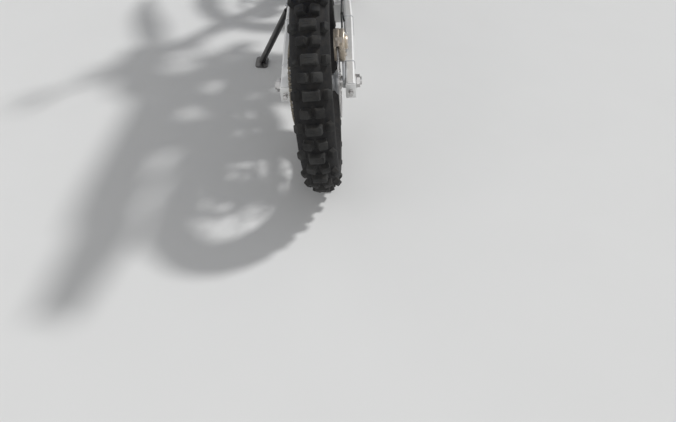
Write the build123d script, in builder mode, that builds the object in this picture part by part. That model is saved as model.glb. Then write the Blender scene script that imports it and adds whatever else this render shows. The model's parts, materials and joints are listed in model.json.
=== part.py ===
from build123d import *
import os
from math import acos, atan2, cos, degrees, pi, radians, sin, sqrt, tan

# A cross-country dirt bike, parked on its side stand with the steering on its left stop.
# It is drawn upright and straight ahead, in millimetres: X to its right, Y forward, Z up,
# from the point on the ground under the rear axle. The last section turns, leans and seats it.

# Wheels and steering geometry
WHEELBASE = 1485.0
RAKE = 27.0
TRAIL = 115.0
LEAN = 7.0
STEER_LOCK = 42.0
REAR_RADIUS = 340.0
REAR_CROWN = 69.0
FRONT_RADIUS = 348.0
FRONT_CROWN = 48.0
REAR_SECTION = 111.0
FRONT_SECTION = 81.0
LUG_HEIGHT = 15.0
LUG_ROOT = 5.0
LUG_LENGTH = 24.0
CARCASS = 9.0
BEAD_GAP = 0.4

# Fork and bars
FORK_SPREAD = 105.0
FORK_OFFSET = 22.0
FORK_OUTER = 58.0
FORK_INNER = 48.0
FORK_STROKE = 310.0
LOWER_CLAMP_Z = 945.0
UPPER_CLAMP_Z = 1105.0
HEAD_TUBE = 56.0
BAR_WIDTH = 810.0
BAR_THICK = 28.6
BAR_THIN = 22.2
BAR_RISE = 92.0
BAR_SWEEP = 52.0
BAR_BORE = 14.0
BAR_BORE_DEPTH = 42.0
GRIP_LENGTH = 125.0
GRIP_THICK = 32.0

# Axles, swingarm and final drive
REAR_AXLE = 25.0
FRONT_AXLE = 26.0
AXLE_BORE = 15.0
AXLE_OUT = 20.0
FRONT_AXLE_OUT = 28.0
PIVOT_Y = 592.0
PIVOT_Z = 408.0
ARM_INNER = 85.0
ARM_THICK = 29.0
CHAIN_X = -71.0
CHAIN_PITCH = 15.875
REAR_TEETH = 48
FRONT_TEETH = 13
COUNTERSHAFT_Y = 668.0
COUNTERSHAFT_Z = 420.0
CHAIN_BAND = 9.0
CHAIN_PLATE = 14.0
CHAIN_WIDTH = 12.0
LINK_WIDTH = 17.0
REAR_DISC = 220.0
FRONT_DISC = 260.0
DISC_THICK = 4.0
DISC_X = 66.0

# Side stand
STAND_PIVOT = (-126.0, 590.0, 335.0)
STAND_FOOT = (-289.0, 711.0)
STAND_FOLDED = (-0.13, -1.0, 0.06)
STAND_EYE = 30.0
STAND_EYE_LONG = 18.0
STAND_PIN = 12.0
STAND_TUBE = 26.0

# Clearances
FIT = 0.3
RUN = 0.05

AXLE_REAR = Vector(0, 0, REAR_RADIUS)
AXLE_FRONT = Vector(0, WHEELBASE, FRONT_RADIUS)
rake_sin = sin(radians(RAKE))
rake_cos = cos(radians(RAKE))
STEER_DIR = Vector(0, -rake_sin, rake_cos)
STEER_FOOT = Vector(0, WHEELBASE + TRAIL, 0)
NOSE_Y = STEER_FOOT.Y
steering_axis = Axis(STEER_FOOT, STEER_DIR)


def on_steering_axis(z):
    """The point of the steering axis at a height."""
    return STEER_FOOT + STEER_DIR * (z / rake_cos)


# The fork legs' own plane: local x across the bike, local z up along the legs.
FORWARD = Vector(0, rake_cos, rake_sin)
leg_foot = on_steering_axis(0) + FORWARD * FORK_OFFSET


def fork_point(x, ahead, up):
    """A point across, ahead of the legs' centreline, and up along it from the axle's height."""
    return leg_base + Vector(x, 0, 0) + FORWARD * ahead + STEER_DIR * up


axle_lead = (AXLE_FRONT - leg_foot).dot(FORWARD)
leg_base = AXLE_FRONT - FORWARD * axle_lead
clamp_low_up = (on_steering_axis(LOWER_CLAMP_Z) - leg_base).dot(STEER_DIR)
clamp_top_up = (on_steering_axis(UPPER_CLAMP_Z) - leg_base).dot(STEER_DIR)

os.makedirs("parts", exist_ok=True)
bodies = {"chassis": [], "rear_wheel": [], "steering": [], "front_wheel": [], "side_stand": []}


def keep(body, label, part):
    """Labels a finished piece and lists it with the body that carries it."""
    part.label = label
    bodies[body].append(part)


def tube(points, diameter, bend):
    """A round tube along straight runs with rounded corners."""
    with BuildPart() as piece:
        with BuildLine() as path:
            if len(points) > 2:
                FilletPolyline(*points, radius=bend)
            else:
                Line(*points)
        with BuildSketch(Plane(origin=path.line @ 0, z_dir=path.line % 0)):
            Circle(diameter / 2)
        sweep(path=path.line)
    return piece.part


def pair(part):
    """A piece and its mirror image on the bike's other side."""
    with BuildPart() as both:
        add(part)
        mirror(about=Plane.YZ)
    return both.part


def rod(start, end, diameter):
    """A plain round bar between two points."""
    start, end = Vector(*start), Vector(*end)
    with BuildPart() as piece:
        with BuildSketch(Plane(origin=start, z_dir=end - start)):
            Circle(diameter / 2)
        extrude(amount=(end - start).length)
    return piece.part


# Tyres: a carcass of revolution with knobs in rows. Each row gives its place in the pitch,
# its tilt round the crown in degrees, and the knob's width.
REAR_KNOBS = [(0.0, 0, 42), (0.0, 47, 17), (0.0, -47, 17), (0.5, 19, 25), (0.5, -19, 25)]
FRONT_KNOBS = [(0.0, 0, 26), (0.0, 52, 14), (0.0, -52, 14), (0.5, 24, 20), (0.5, -24, 20)]


def make_tyre(axle, radius, crown, rim_half, bead, belly, knobs, pitches):
    base = crown - LUG_HEIGHT
    inner = base - CARCASS

    def on_crown(size, tilt):
        return (size * sin(radians(tilt)), radius - crown + size * cos(radians(tilt)))

    with BuildPart() as tyre:
        with BuildSketch(Plane.XZ):
            with BuildLine():
                outline = [
                    on_crown(base, 0),
                    on_crown(base, 34),
                    on_crown(base, 62),
                    (belly, (radius + bead) / 2 - 14),
                    (rim_half + 6, bead + 17),
                    (rim_half - BEAD_GAP, bead + 14),
                    (rim_half - BEAD_GAP, bead + BEAD_GAP),
                    (rim_half - 8, bead + BEAD_GAP),
                    (rim_half - 6, bead + 16),
                    (belly - CARCASS, (radius + bead) / 2 - 14),
                    on_crown(inner, 50),
                    on_crown(inner, 0),
                ]
                Polyline(*outline, close=True)
            make_face()
            mirror(about=Plane.YZ)
        revolve(axis=Axis.X)
        places = [
            Location((0, 0, 0), ((n + share) * 360 / pitches, 0, 0))
            * Location((0, 0, radius - crown), (0, tilt, 0))
            * Location((0, 0, crown - (LUG_HEIGHT + LUG_ROOT) / 2))
            for share, tilt, width in knobs
            for n in range(pitches)
        ]
        widths = [width for share, tilt, width in knobs for n in range(pitches)]
        for knob_width in sorted(set(widths)):
            with Locations(*[p for p, w in zip(places, widths) if w == knob_width]):
                Box(knob_width, LUG_LENGTH, LUG_HEIGHT + LUG_ROOT)
    return tyre.part.moved(Location(axle))


def make_rim(axle, bead, half):
    """A drop-centre rim: flanges, bead seats and a well."""
    with BuildPart() as rim:
        with BuildSketch(Plane.XZ):
            with BuildLine():
                Polyline(
                    (0, bead - 14),
                    (half - 15, bead - 14),
                    (half - 10, bead),
                    (half, bead),
                    (half + 1, bead + 12),
                    (half + 5, bead + 12),
                    (half + 5, bead - 4),
                    (half - 12, bead - 21),
                    (0, bead - 21),
                    close=True,
                )
            make_face()
            mirror(about=Plane.YZ)
        revolve(axis=Axis.X)
    return rim.part.moved(Location(axle))


SPOKES_A_SIDE = 18
SPOKE_SIZE = 4.0
SPOKE_SKEW = 52.0
SPOKE_SPLIT = 3.0


def make_spokes(axle, flange_x, flange_r, rim_r):
    """Laced spokes: from each hub flange, in crossing pairs, up to the rim's well."""
    step = 360 / SPOKES_A_SIDE
    with BuildPart() as spokes:
        for side in (-1, 1):
            for n in range(SPOKES_A_SIDE):
                turn = n * step + (side + 1) * step / 4
                lead = SPOKE_SKEW if n % 2 else -SPOKE_SKEW
                inset = SPOKE_SPLIT if n % 2 else -SPOKE_SPLIT
                hub_at = radians(turn + lead)
                rim_at = radians(turn)
                start = Vector(side * (flange_x + inset), flange_r * sin(hub_at), flange_r * cos(hub_at))
                end = Vector(side * (4.5 + inset * 0.8), rim_r * sin(rim_at), rim_r * cos(rim_at))
                with BuildSketch(Plane(origin=start, z_dir=end - start)):
                    RegularPolygon(SPOKE_SIZE / 2, 6)
                extrude(amount=(end - start).length)
    return spokes.part.moved(Location(axle))


def make_hub(axle, profile, bore):
    """A hub turned from (x, radius) points, bored for its axle."""
    with BuildPart() as hub:
        with BuildSketch(Plane.XZ):
            with BuildLine():
                bore_r = bore / 2 + RUN
                Polyline((profile[0][0], bore_r), *profile, (profile[-1][0], bore_r), close=True)
            make_face()
        revolve(axis=Axis.X)
    return hub.part.moved(Location(axle))


def make_disc(axle, x, diameter, bolt_radius):
    """A brake disc: a scalloped ring on six arms that reach its bolts."""
    ring = 17.0
    with BuildPart() as disc:
        with BuildSketch(Plane.YZ.offset(x - DISC_THICK / 2)):
            Circle(diameter / 2)
            with PolarLocations(diameter / 2 + 4, 12):
                Circle(9, mode=Mode.SUBTRACT)
            Circle(diameter / 2 - ring, mode=Mode.SUBTRACT)
            with PolarLocations((diameter / 2 - ring + bolt_radius - 6) / 2 + 2, 6):
                Rectangle(diameter / 2 - ring - bolt_radius + 18, 13)
            Circle(bolt_radius + 7)
            Circle(bolt_radius - 9, mode=Mode.SUBTRACT)
        extrude(amount=DISC_THICK)
    return disc.part.moved(Location(axle))


# Rear wheel
REAR_BEAD = REAR_RADIUS - REAR_SECTION
REAR_RIM_HALF = 27.5
FRONT_BEAD = FRONT_RADIUS - FRONT_SECTION
FRONT_RIM_HALF = 20.5
REAR_FLANGE = 42.0
FRONT_FLANGE = 32.0

keep("rear_wheel", "rear_tyre",
     make_tyre(AXLE_REAR, REAR_RADIUS, REAR_CROWN, REAR_RIM_HALF, REAR_BEAD, 53, REAR_KNOBS, 22))
keep("rear_wheel", "rear_rim", make_rim(AXLE_REAR, REAR_BEAD, REAR_RIM_HALF))
keep("rear_wheel", "rear_spokes", make_spokes(AXLE_REAR, 34, REAR_FLANGE + 2.2, REAR_BEAD - 21 - 3 * FIT))
rear_hub_profile = [
    (-62, 20), (-62, 46), (-52, 46), (-44, 26), (-30, 26), (-30, REAR_FLANGE), (-26, REAR_FLANGE),
    (-26, 27), (26, 27), (26, REAR_FLANGE), (30, REAR_FLANGE), (30, 26), (DISC_X - 16, 26),
    (DISC_X - 8, 38), (DISC_X - DISC_THICK / 2 - FIT, 38),
]
keep("rear_wheel", "rear_hub", make_hub(AXLE_REAR, rear_hub_profile, REAR_AXLE))
keep("rear_wheel", "rear_disc", make_disc(AXLE_REAR, DISC_X, REAR_DISC, 34))

pitch_radius = CHAIN_PITCH / (2 * sin(pi / REAR_TEETH))
drive_radius = CHAIN_PITCH / (2 * sin(pi / FRONT_TEETH))
TOOTH_DROP = CHAIN_BAND / 2 + 1.0
SPROCKET_THICK = 6.0

with BuildPart() as rear_sprocket:
    with BuildSketch(Plane.YZ.offset(CHAIN_X - SPROCKET_THICK / 2)):
        with BuildLine():
            tooth = 2 * pi / REAR_TEETH
            tips = pitch_radius - TOOTH_DROP
            roots = tips - 7
            points = []
            for n in range(REAR_TEETH):
                points.append((tips * cos(n * tooth), tips * sin(n * tooth)))
                points.append((roots * cos((n + 0.5) * tooth), roots * sin((n + 0.5) * tooth)))
            Polyline(*points, close=True)
        make_face()
        Circle(46 - 10, mode=Mode.SUBTRACT)
        with PolarLocations(78, 6):
            Circle(20, mode=Mode.SUBTRACT)
    extrude(amount=SPROCKET_THICK)
keep("rear_wheel", "rear_sprocket", rear_sprocket.part.moved(Location(AXLE_REAR)))

# Front wheel
keep("front_wheel", "front_tyre",
     make_tyre(AXLE_FRONT, FRONT_RADIUS, FRONT_CROWN, FRONT_RIM_HALF, FRONT_BEAD, 41, FRONT_KNOBS, 24))
keep("front_wheel", "front_rim", make_rim(AXLE_FRONT, FRONT_BEAD, FRONT_RIM_HALF))
keep("front_wheel", "front_spokes",
     make_spokes(AXLE_FRONT, 27, FRONT_FLANGE + 2.2, FRONT_BEAD - 21 - 3 * FIT))
FRONT_DISC_X = -58.0
front_hub_profile = [
    (FRONT_DISC_X + DISC_THICK / 2 + FIT, 34), (-46, 34), (-38, 20), (-25, 20), (-25, FRONT_FLANGE),
    (-21, FRONT_FLANGE), (-21, 20), (21, 20), (21, FRONT_FLANGE), (25, FRONT_FLANGE), (25, 20), (58, 18),
]
keep("front_wheel", "front_hub", make_hub(AXLE_FRONT, front_hub_profile, FRONT_AXLE))
keep("front_wheel", "front_disc", make_disc(AXLE_FRONT, FRONT_DISC_X, FRONT_DISC, 30))

# Parked: the bike leans left, both tyres on the ground, and `parked` is that placing
STAND_REACH = Vector(STAND_FOOT[0], STAND_FOOT[1], 0)
leaned = Location((0, 0, 0), (0, -LEAN, 0))
rear_tyre = bodies["rear_wheel"][0]
front_tyre = bodies["front_wheel"][0].rotate(steering_axis, STEER_LOCK)
contact_base = (leaned * Location(AXLE_FRONT.rotate(steering_axis, STEER_LOCK))).position.Y
pitch = 0.0
for settle in range(4):
    pitched = Location((0, 0, 0), (-pitch, 0, 0)) * leaned
    rear_rest, front_rest = (t.moved(pitched).bounding_box().min.Z for t in (rear_tyre, front_tyre))
    pitch += degrees(atan2(front_rest - rear_rest, contact_base))
low = min(rear_rest, front_rest)
parked = Location((0, 0, -low)) * pitched
stand_foot = (parked.inverse() * Location(STAND_REACH)).position
ground_up = (parked.inverse() * Location(STAND_REACH + Vector(0, 0, 1))).position - stand_foot
stand_pivot = Vector(*STAND_PIVOT)
stand_down = (stand_foot - stand_pivot).normalized()
stand_folded = Vector(*STAND_FOLDED).normalized()
fold_dir = stand_down.cross(stand_folded).normalized()

# Fork legs: outer tubes held by the clamps, chrome inner tubes below them in cast axle lugs
LEG_TOP = clamp_top_up + 42
OUTER_END = FORK_STROKE + 62
LUG_TOP = 62.0


def leg(x, low, high, diameter):
    with BuildPart() as piece:
        with BuildSketch(Plane(origin=fork_point(x, 0, low), z_dir=STEER_DIR)):
            Circle(diameter / 2)
        extrude(amount=high - low)
    return piece.part


with BuildPart() as fork_tubes:
    add(leg(FORK_SPREAD, OUTER_END, LEG_TOP, FORK_OUTER))
    add(leg(FORK_SPREAD, OUTER_END - 12, OUTER_END + 14, FORK_OUTER + 6))
    add(leg(FORK_SPREAD, OUTER_END - 12, OUTER_END + 14, FORK_INNER + 2 * FIT), mode=Mode.SUBTRACT)
    mirror(about=Plane.YZ)
keep("steering", "fork_tubes", fork_tubes.part)

AXLE_LUG_HALF = 21.0
with BuildPart() as fork_sliders:
    add(leg(FORK_SPREAD, LUG_TOP - 6, OUTER_END - FIT, FORK_INNER))
    add(leg(FORK_SPREAD, 8, LUG_TOP, FORK_OUTER))
    with BuildSketch(Plane.YZ.offset(FORK_SPREAD - AXLE_LUG_HALF)):
        with Locations((AXLE_FRONT.Y, AXLE_FRONT.Z)):
            Circle(27)
        with BuildLine():
            rear_side, front_side = fork_point(0, -26, 12), fork_point(0, 26, 48)
            front_low = fork_point(0, axle_lead + 22, 10)
            rear_low = fork_point(0, axle_lead - 20, -18)
            Polyline(
                (rear_side.Y, rear_side.Z),
                (fork_point(0, -26, 50).Y, fork_point(0, -26, 50).Z),
                (front_side.Y, front_side.Z),
                (front_low.Y, front_low.Z),
                (rear_low.Y, rear_low.Z),
                close=True,
            )
        make_face()
    extrude(amount=2 * AXLE_LUG_HALF)
    with BuildSketch(Plane.YZ.offset(FORK_SPREAD - 40)):
        with Locations((AXLE_FRONT.Y, AXLE_FRONT.Z)):
            Circle(FRONT_AXLE / 2 + RUN)
    extrude(amount=80, mode=Mode.SUBTRACT)
    mirror(about=Plane.YZ)
keep("steering", "fork_sliders", fork_sliders.part)

with BuildPart() as front_axle:
    with BuildSketch(Plane.YZ.offset(-FORK_SPREAD - FRONT_AXLE_OUT)):
        with Locations((AXLE_FRONT.Y, AXLE_FRONT.Z)):
            Circle(FRONT_AXLE / 2)
            Circle(AXLE_BORE / 2, mode=Mode.SUBTRACT)
    extrude(amount=2 * (FORK_SPREAD + FRONT_AXLE_OUT))
    for side in (-1, 1):
        with BuildSketch(Plane.YZ.offset(side * 62 - (19 if side < 0 else 0) + (0.5 if side > 0 else -0.5))):
            with Locations((AXLE_FRONT.Y, AXLE_FRONT.Z)):
                Circle(18)
                Circle(FRONT_AXLE / 2 - 1, mode=Mode.SUBTRACT)
        extrude(amount=19)
keep("steering", "front_axle", front_axle.part)

# Guards in front of and outside the chrome tubes, each bolted to its lug at a boss
GUARD_WALL = 4.0
GUARD_LOW = LUG_TOP - 12
GUARD_OUT = FORK_OUTER / 2 + 14
with BuildPart() as fork_guards:
    with BuildSketch(Plane(origin=fork_point(FORK_SPREAD, 0, GUARD_LOW), x_dir=(1, 0, 0), z_dir=STEER_DIR)):
        with BuildLine():
            outer = GUARD_OUT
            Polyline(
                (-outer + 10, 12), (-14, outer), (18, outer), (outer, 14), (outer, -16),
                (outer - GUARD_WALL, -16), (outer - GUARD_WALL, 12), (16, outer - GUARD_WALL),
                (-12, outer - GUARD_WALL), (-outer + 10 + GUARD_WALL, 12), close=True,
            )
        make_face()
    extrude(amount=OUTER_END - 24 - GUARD_LOW)
    boss_foot = fork_point(FORK_SPREAD, FORK_OUTER / 2 + FIT, GUARD_LOW + 6)
    add(rod(boss_foot, boss_foot + FORWARD * (GUARD_OUT - GUARD_WALL / 2 - FORK_OUTER / 2 - FIT), 10))
    mirror(about=Plane.YZ)
keep("steering", "fork_guards", fork_guards.part)

# Triple clamps on the stem that turns in the head tube
CLAMP_THICK = 32.0
STEM = 28.0


def clamp_plate(z, length):
    """A clamp plate round both legs and the stem."""
    centre = on_steering_axis(z)
    with BuildPart() as plate:
        with BuildSketch(Plane(origin=centre, x_dir=(1, 0, 0), z_dir=STEER_DIR)):
            with Locations((0, 6)):
                RectangleRounded(2 * FORK_SPREAD - 10, 40 + length, 12)
            Circle(STEM / 2 + 18)
            with Locations((FORK_SPREAD, FORK_OFFSET), (-FORK_SPREAD, FORK_OFFSET)):
                Circle(FORK_OUTER / 2 + 11)
                Circle(FORK_OUTER / 2 + RUN, mode=Mode.SUBTRACT)
        extrude(amount=CLAMP_THICK)
    return plate.part


head_low = LOWER_CLAMP_Z + CLAMP_THICK * rake_cos + 1.5
head_high = UPPER_CLAMP_Z - 1.5
with BuildPart() as triple_clamps:
    add(clamp_plate(LOWER_CLAMP_Z, 0))
    add(clamp_plate(UPPER_CLAMP_Z, 6))
    with BuildSketch(Plane(origin=on_steering_axis(LOWER_CLAMP_Z), z_dir=STEER_DIR)):
        Circle(STEM / 2)
    extrude(amount=(UPPER_CLAMP_Z - LOWER_CLAMP_Z) / rake_cos + CLAMP_THICK + 8)
keep("steering", "triple_clamps", triple_clamps.part)

# Handlebar on two risers above the upper clamp
bar_up = clamp_top_up + CLAMP_THICK + 34
bar_ahead = -4.0
RISER_X = 50.0


def bar_point(x, rise, back):
    return fork_point(x, bar_ahead, bar_up) + Vector(0, -back, rise)


bar_half = BAR_WIDTH / 2
riser_foot = fork_point(0, bar_ahead, clamp_top_up + CLAMP_THICK + FIT)
bar_line = [
    bar_point(0, 0, 0), bar_point(88, 0, 0), bar_point(195, BAR_RISE - 8, 12),
    bar_point(bar_half, BAR_RISE, 12 + BAR_SWEEP),
]
grip_dir = (bar_line[3] - bar_line[2]).normalized()
with BuildPart() as handlebar:
    add(tube(bar_line, BAR_THIN, 60))
    add(rod(bar_point(-5, 0, 0), bar_point(82, 0, 0), BAR_THICK))
    with BuildSketch(Plane(origin=riser_foot, x_dir=(1, 0, 0), z_dir=STEER_DIR)):
        with Locations((RISER_X, 0)):
            RectangleRounded(24, 42, 6)
    extrude(amount=bar_up + 20 - (clamp_top_up + CLAMP_THICK + FIT))
    add(rod(bar_line[3] - grip_dir * BAR_BORE_DEPTH, bar_line[3], BAR_BORE), mode=Mode.SUBTRACT)
    mirror(about=Plane.YZ)
keep("steering", "handlebar", handlebar.part)

with BuildPart() as grips:
    with BuildSketch(Plane(origin=bar_line[3], z_dir=-grip_dir)):
        Circle(GRIP_THICK / 2)
        Circle(BAR_THIN / 2 + RUN, mode=Mode.SUBTRACT)
    extrude(amount=GRIP_LENGTH)
    with BuildSketch(Plane(origin=bar_line[3] - grip_dir * (GRIP_LENGTH - 5), z_dir=-grip_dir)):
        Circle(GRIP_THICK / 2 + 10)
        Circle(BAR_THIN / 2 + RUN, mode=Mode.SUBTRACT)
    extrude(amount=5)
    mirror(about=Plane.YZ)
keep("steering", "grips", grips.part)

LEVER_REACH = 62.0
lever_plane = Plane(origin=bar_line[3] - grip_dir * (GRIP_LENGTH + 34), x_dir=grip_dir, z_dir=(0, -0.25, 1))
with BuildPart() as levers:
    with BuildSketch(Plane(origin=lever_plane.origin - grip_dir * 14, z_dir=grip_dir)):
        Circle(BAR_THIN / 2 + 7)
    extrude(amount=28)
    with BuildSketch(lever_plane.offset(-9)):
        with BuildLine():
            Polyline(
                (-16, 12), (14, 12), (18, 34), (60, LEVER_REACH - 10), (150, LEVER_REACH - 4),
                (172, LEVER_REACH + 2), (174, LEVER_REACH + 12), (150, LEVER_REACH + 9),
                (60, LEVER_REACH + 6), (0, 48), (-20, 30), close=True,
            )
        make_face()
    extrude(amount=11)
    with BuildSketch(Plane(origin=lever_plane.origin - grip_dir * 30, z_dir=grip_dir)):
        Circle(BAR_THIN / 2 + RUN)
    extrude(amount=60, mode=Mode.SUBTRACT)
    mirror(about=Plane.YZ)
keep("steering", "levers", levers.part)


# Front fender under the lower clamp: arched sections along its spine. Each row gives the
# spine's Y from NOSE_Y and its Z, the section's tilt in degrees, its half width, crown and skirt.
FENDER_WALL = 3.5
FENDER_BOSS = 46.0
FRONT_FENDER = [
    (-480, 790, -68, 52, 10, 12),
    (-458, 884, -52, 66, 12, 14),
    (-410, 942, -27, 70, 13, 12),
    (-338, 956, -5, 86, 15, 22),
    (-200, 946, 4, 100, 17, 34),
    (-40, 920, 14, 84, 16, 22),
    (100, 866, 25, 46, 9, 7),
]


def arched_shell(rows, wall):
    """A fender: arched sections, each open below, lofted along the spine."""
    with BuildPart() as shell:
        for y, z, tilt, half, crown, skirt in rows:
            across = Plane(
                origin=(0, y, z), x_dir=(1, 0, 0),
                z_dir=(0, -cos(radians(tilt)), sin(radians(tilt))),
            )
            with BuildSketch(across):
                with BuildLine():
                    Polyline(
                        (-half, -skirt), (-half * 0.88, 0), (-half * 0.42, crown), (half * 0.42, crown),
                        (half * 0.88, 0), (half, -skirt), (half - wall, -skirt), (half * 0.88 - wall, -wall),
                        (half * 0.42 - wall / 2, crown - wall), (-half * 0.42 + wall / 2, crown - wall),
                        (-half * 0.88 + wall, -wall), (-half + wall, -skirt), close=True,
                    )
                make_face()
        loft(ruled=True)
    return shell.part


fender_seat = on_steering_axis(LOWER_CLAMP_Z) - STEER_DIR * FIT
with BuildPart() as front_fender:
    add(arched_shell([(NOSE_Y + row[0], *row[1:]) for row in FRONT_FENDER], FENDER_WALL))
    with BuildSketch(Plane(origin=fender_seat, x_dir=(1, 0, 0), z_dir=-STEER_DIR)):
        with Locations((0, -8)):
            RectangleRounded(56, 34, 8)
    extrude(amount=FENDER_BOSS)
keep("steering", "front_fender", front_fender.part)

# Blank number plate in front of the clamps
PLATE_WALL = 4.0
plate_ahead = FORK_OUTER / 2 + 11 + FIT
with BuildPart() as number_plate:
    plate_foot = fork_point(0, plate_ahead, clamp_low_up + 4)
    with BuildSketch(Plane(origin=plate_foot, x_dir=(1, 0, 0), z_dir=-FORWARD)):
        with BuildLine():
            Polyline(
                (-70, 0), (70, 0), (98, 60), (108, 150), (104, 200), (44, 222), (-44, 222), (-104, 200),
                (-108, 150), (-98, 60), close=True,
            )
        make_face()
    extrude(amount=-PLATE_WALL)
keep("steering", "number_plate", number_plate.part)

# Front brake caliper on the left axle lug
with BuildPart() as front_caliper:
    with BuildSketch(Plane.YZ.offset(FRONT_DISC_X - 24)):
        with BuildLine():
            Polyline(*[
                (p.Y, p.Z) for p in (
                    fork_point(0, -30, 70), fork_point(0, -34, 150), fork_point(0, -72, 150),
                    fork_point(0, -98, 118), fork_point(0, -92, 66), fork_point(0, -52, 48),
                )
            ], close=True)
        make_face()
    extrude(amount=44)
    with BuildSketch(Plane.YZ.offset(FRONT_DISC_X - DISC_THICK / 2 - 1.5)):
        with Locations((AXLE_FRONT.Y, AXLE_FRONT.Z)):
            Circle(FRONT_DISC / 2 + 3)
    extrude(amount=DISC_THICK + 3, mode=Mode.SUBTRACT)
    bracket_x = -FORK_SPREAD + AXLE_LUG_HALF + FIT
    with BuildSketch(Plane.YZ.offset(bracket_x)):
        with BuildLine():
            Polyline(*[
                (p.Y, p.Z) for p in (
                    fork_point(0, -8, 18), fork_point(0, -8, 60), fork_point(0, -20, 72),
                    fork_point(0, -20, 128), fork_point(0, -44, 140), fork_point(0, -44, 50),
                    fork_point(0, -26, 16),
                )
            ], close=True)
        make_face()
    extrude(amount=FRONT_DISC_X - 10 - bracket_x)
    add(leg(-FORK_SPREAD, 0, 200, FORK_OUTER + 2 * FIT), mode=Mode.SUBTRACT)
keep("steering", "front_caliper", front_caliper.part)


# Front brake hose: up the back of the left leg, outside the clamps, round the plate to the right lever
BRAKE_HOSE = 6.5
hose_end = (
    lever_plane.origin - grip_dir * 18.9 + lever_plane.y_dir * 20 - lever_plane.z_dir * 3.5
)
front_hose_route = [
    fork_point(-62, -52, 150 + FIT), fork_point(-62, -52, 205), fork_point(-125, -46, 330),
    fork_point(-156, 6, 450), fork_point(-150, 44, clamp_top_up + 6), bar_point(-80, 22, -66),
    bar_point(60, 62, -70), hose_end - grip_dir * 70, hose_end,
]
keep("steering", "front_brake_hose", tube([tuple(p) for p in front_hose_route], BRAKE_HOSE, 5.2 * BRAKE_HOSE))


# Frame: head tube, two box spars to the pivot plates, down tube and cradle
def tapered(rows):
    """A beam lofted through sections; each row: Y, Z, centre X, fall of its run in degrees, width, height."""
    with BuildPart() as piece:
        for y, z, x, fall, wide, high in rows:
            ahead = (0, -cos(radians(fall)), -sin(radians(fall)))
            with BuildSketch(Plane(origin=(x, y, z), x_dir=(1, 0, 0), z_dir=ahead)):
                RectangleRounded(wide, high, 6)
        loft(ruled=True)
    return piece.part


def plate(outline, x, thick):
    """A flat plate cut to an outline of (Y, Z) points, from x outward."""
    with BuildPart() as piece:
        with BuildSketch(Plane.YZ.offset(x)):
            with BuildLine():
                Polyline(*outline, close=True)
            make_face()
        extrude(amount=thick)
    return piece.part


def by_axle(points):
    """Side-view points whose heights are given from the rear axle."""
    return [(y, REAR_RADIUS + up) for y, up in points]


def disc_block(y, z, diameter, x, thick):
    """A round boss across the bike, from x outward."""
    with BuildPart() as piece:
        with BuildSketch(Plane.YZ.offset(x)):
            with Locations((y, z)):
                Circle(diameter / 2)
        extrude(amount=thick)
    return piece.part


head_bottom = on_steering_axis(head_low)
head_top = on_steering_axis(head_high)
PIVOT_BOLT = 20.0
PLATE_X = 84.0
PLATE_THICK = 13.0
CRADLE = 30.0
CRADLE_X = 62.0
CRADLE_KNEE = (CRADLE_X, 976, 450)
CRADLE_FRONT = (CRADLE_X, 904, 322)
CRADLE_REAR = (CRADLE_X, 660, 318)
DOWN_TUBE = 38.0
DOWN_ROUTE = [(0, NOSE_Y - 550, 1000), (0, NOSE_Y - 558, 940), (0, 1013, 610)]
TAB_X = 72.0
SPAR_ROWS = [
    (NOSE_Y - 544, 1014, 26, 38, 22, 64),
    (NOSE_Y - 600, 968, 52, 42, 20, 60),
    (930, 905, 72, 43, 20, 58),
    (700, 690, 88, 48, 20, 58),
    (644, 600, 90, 66, 22, 66),
    (612, 500, 90, 84, 22, 80),
]
SHOCK_EYE = 26.0
with BuildPart() as frame:
    add(tapered(SPAR_ROWS))
    add(plate([(756, 756), (766, 846), (794, 852), (806, 790)], TAB_X, 8))
    add(plate([
        (560, 380), (548, 420), (570, 560), (640, 600), (668, 560), (640, 450), (650, 330), (600, 300),
        (556, 330),
    ], PLATE_X, PLATE_THICK))
    add(tube([(8, 1016, 640), CRADLE_KNEE, CRADLE_FRONT, CRADLE_REAR, (CRADLE_X + 22, 610, 330)], CRADLE, 40))
    add(rod((PLATE_X + 4, 672, 706), (-5, 672, 706), 30))
    add(plate([(632, 676), (624, 694), (632, 710), (672, 718), (680, 700), (668, 690)], SHOCK_EYE / 2 + FIT, 8))
    add(rod((-5, 606, 318), (PLATE_X + 4, 606, 318), 24))
    add(rod((-5, PIVOT_Y, PIVOT_Z), (PLATE_X + PLATE_THICK + 9, PIVOT_Y, PIVOT_Z), PIVOT_BOLT))
    mirror(about=Plane.YZ)
    add(rod(head_bottom, head_top, HEAD_TUBE))
    add(tube(DOWN_ROUTE, DOWN_TUBE, 120))
    gusset = [(-560, 960), (-526, 990), (-554, 1062), (-578, 1050), (-580, 990)]
    add(plate([(NOSE_Y + y, z) for y, z in gusset], -17, 34))
    eye_side = stand_pivot - fold_dir * (STAND_EYE_LONG / 2 + FIT + 8)
    add(rod((-PLATE_X - 4, 606, 318), eye_side, 22))
    add(rod(eye_side, eye_side + fold_dir * 8, STAND_EYE))
    add(rod(eye_side, stand_pivot + fold_dir * (STAND_EYE_LONG / 2 + 8), STAND_PIN))
    add(rod(head_bottom, head_top, STEM + 2 * RUN), mode=Mode.SUBTRACT)
keep("chassis", "frame", frame.part)

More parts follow.
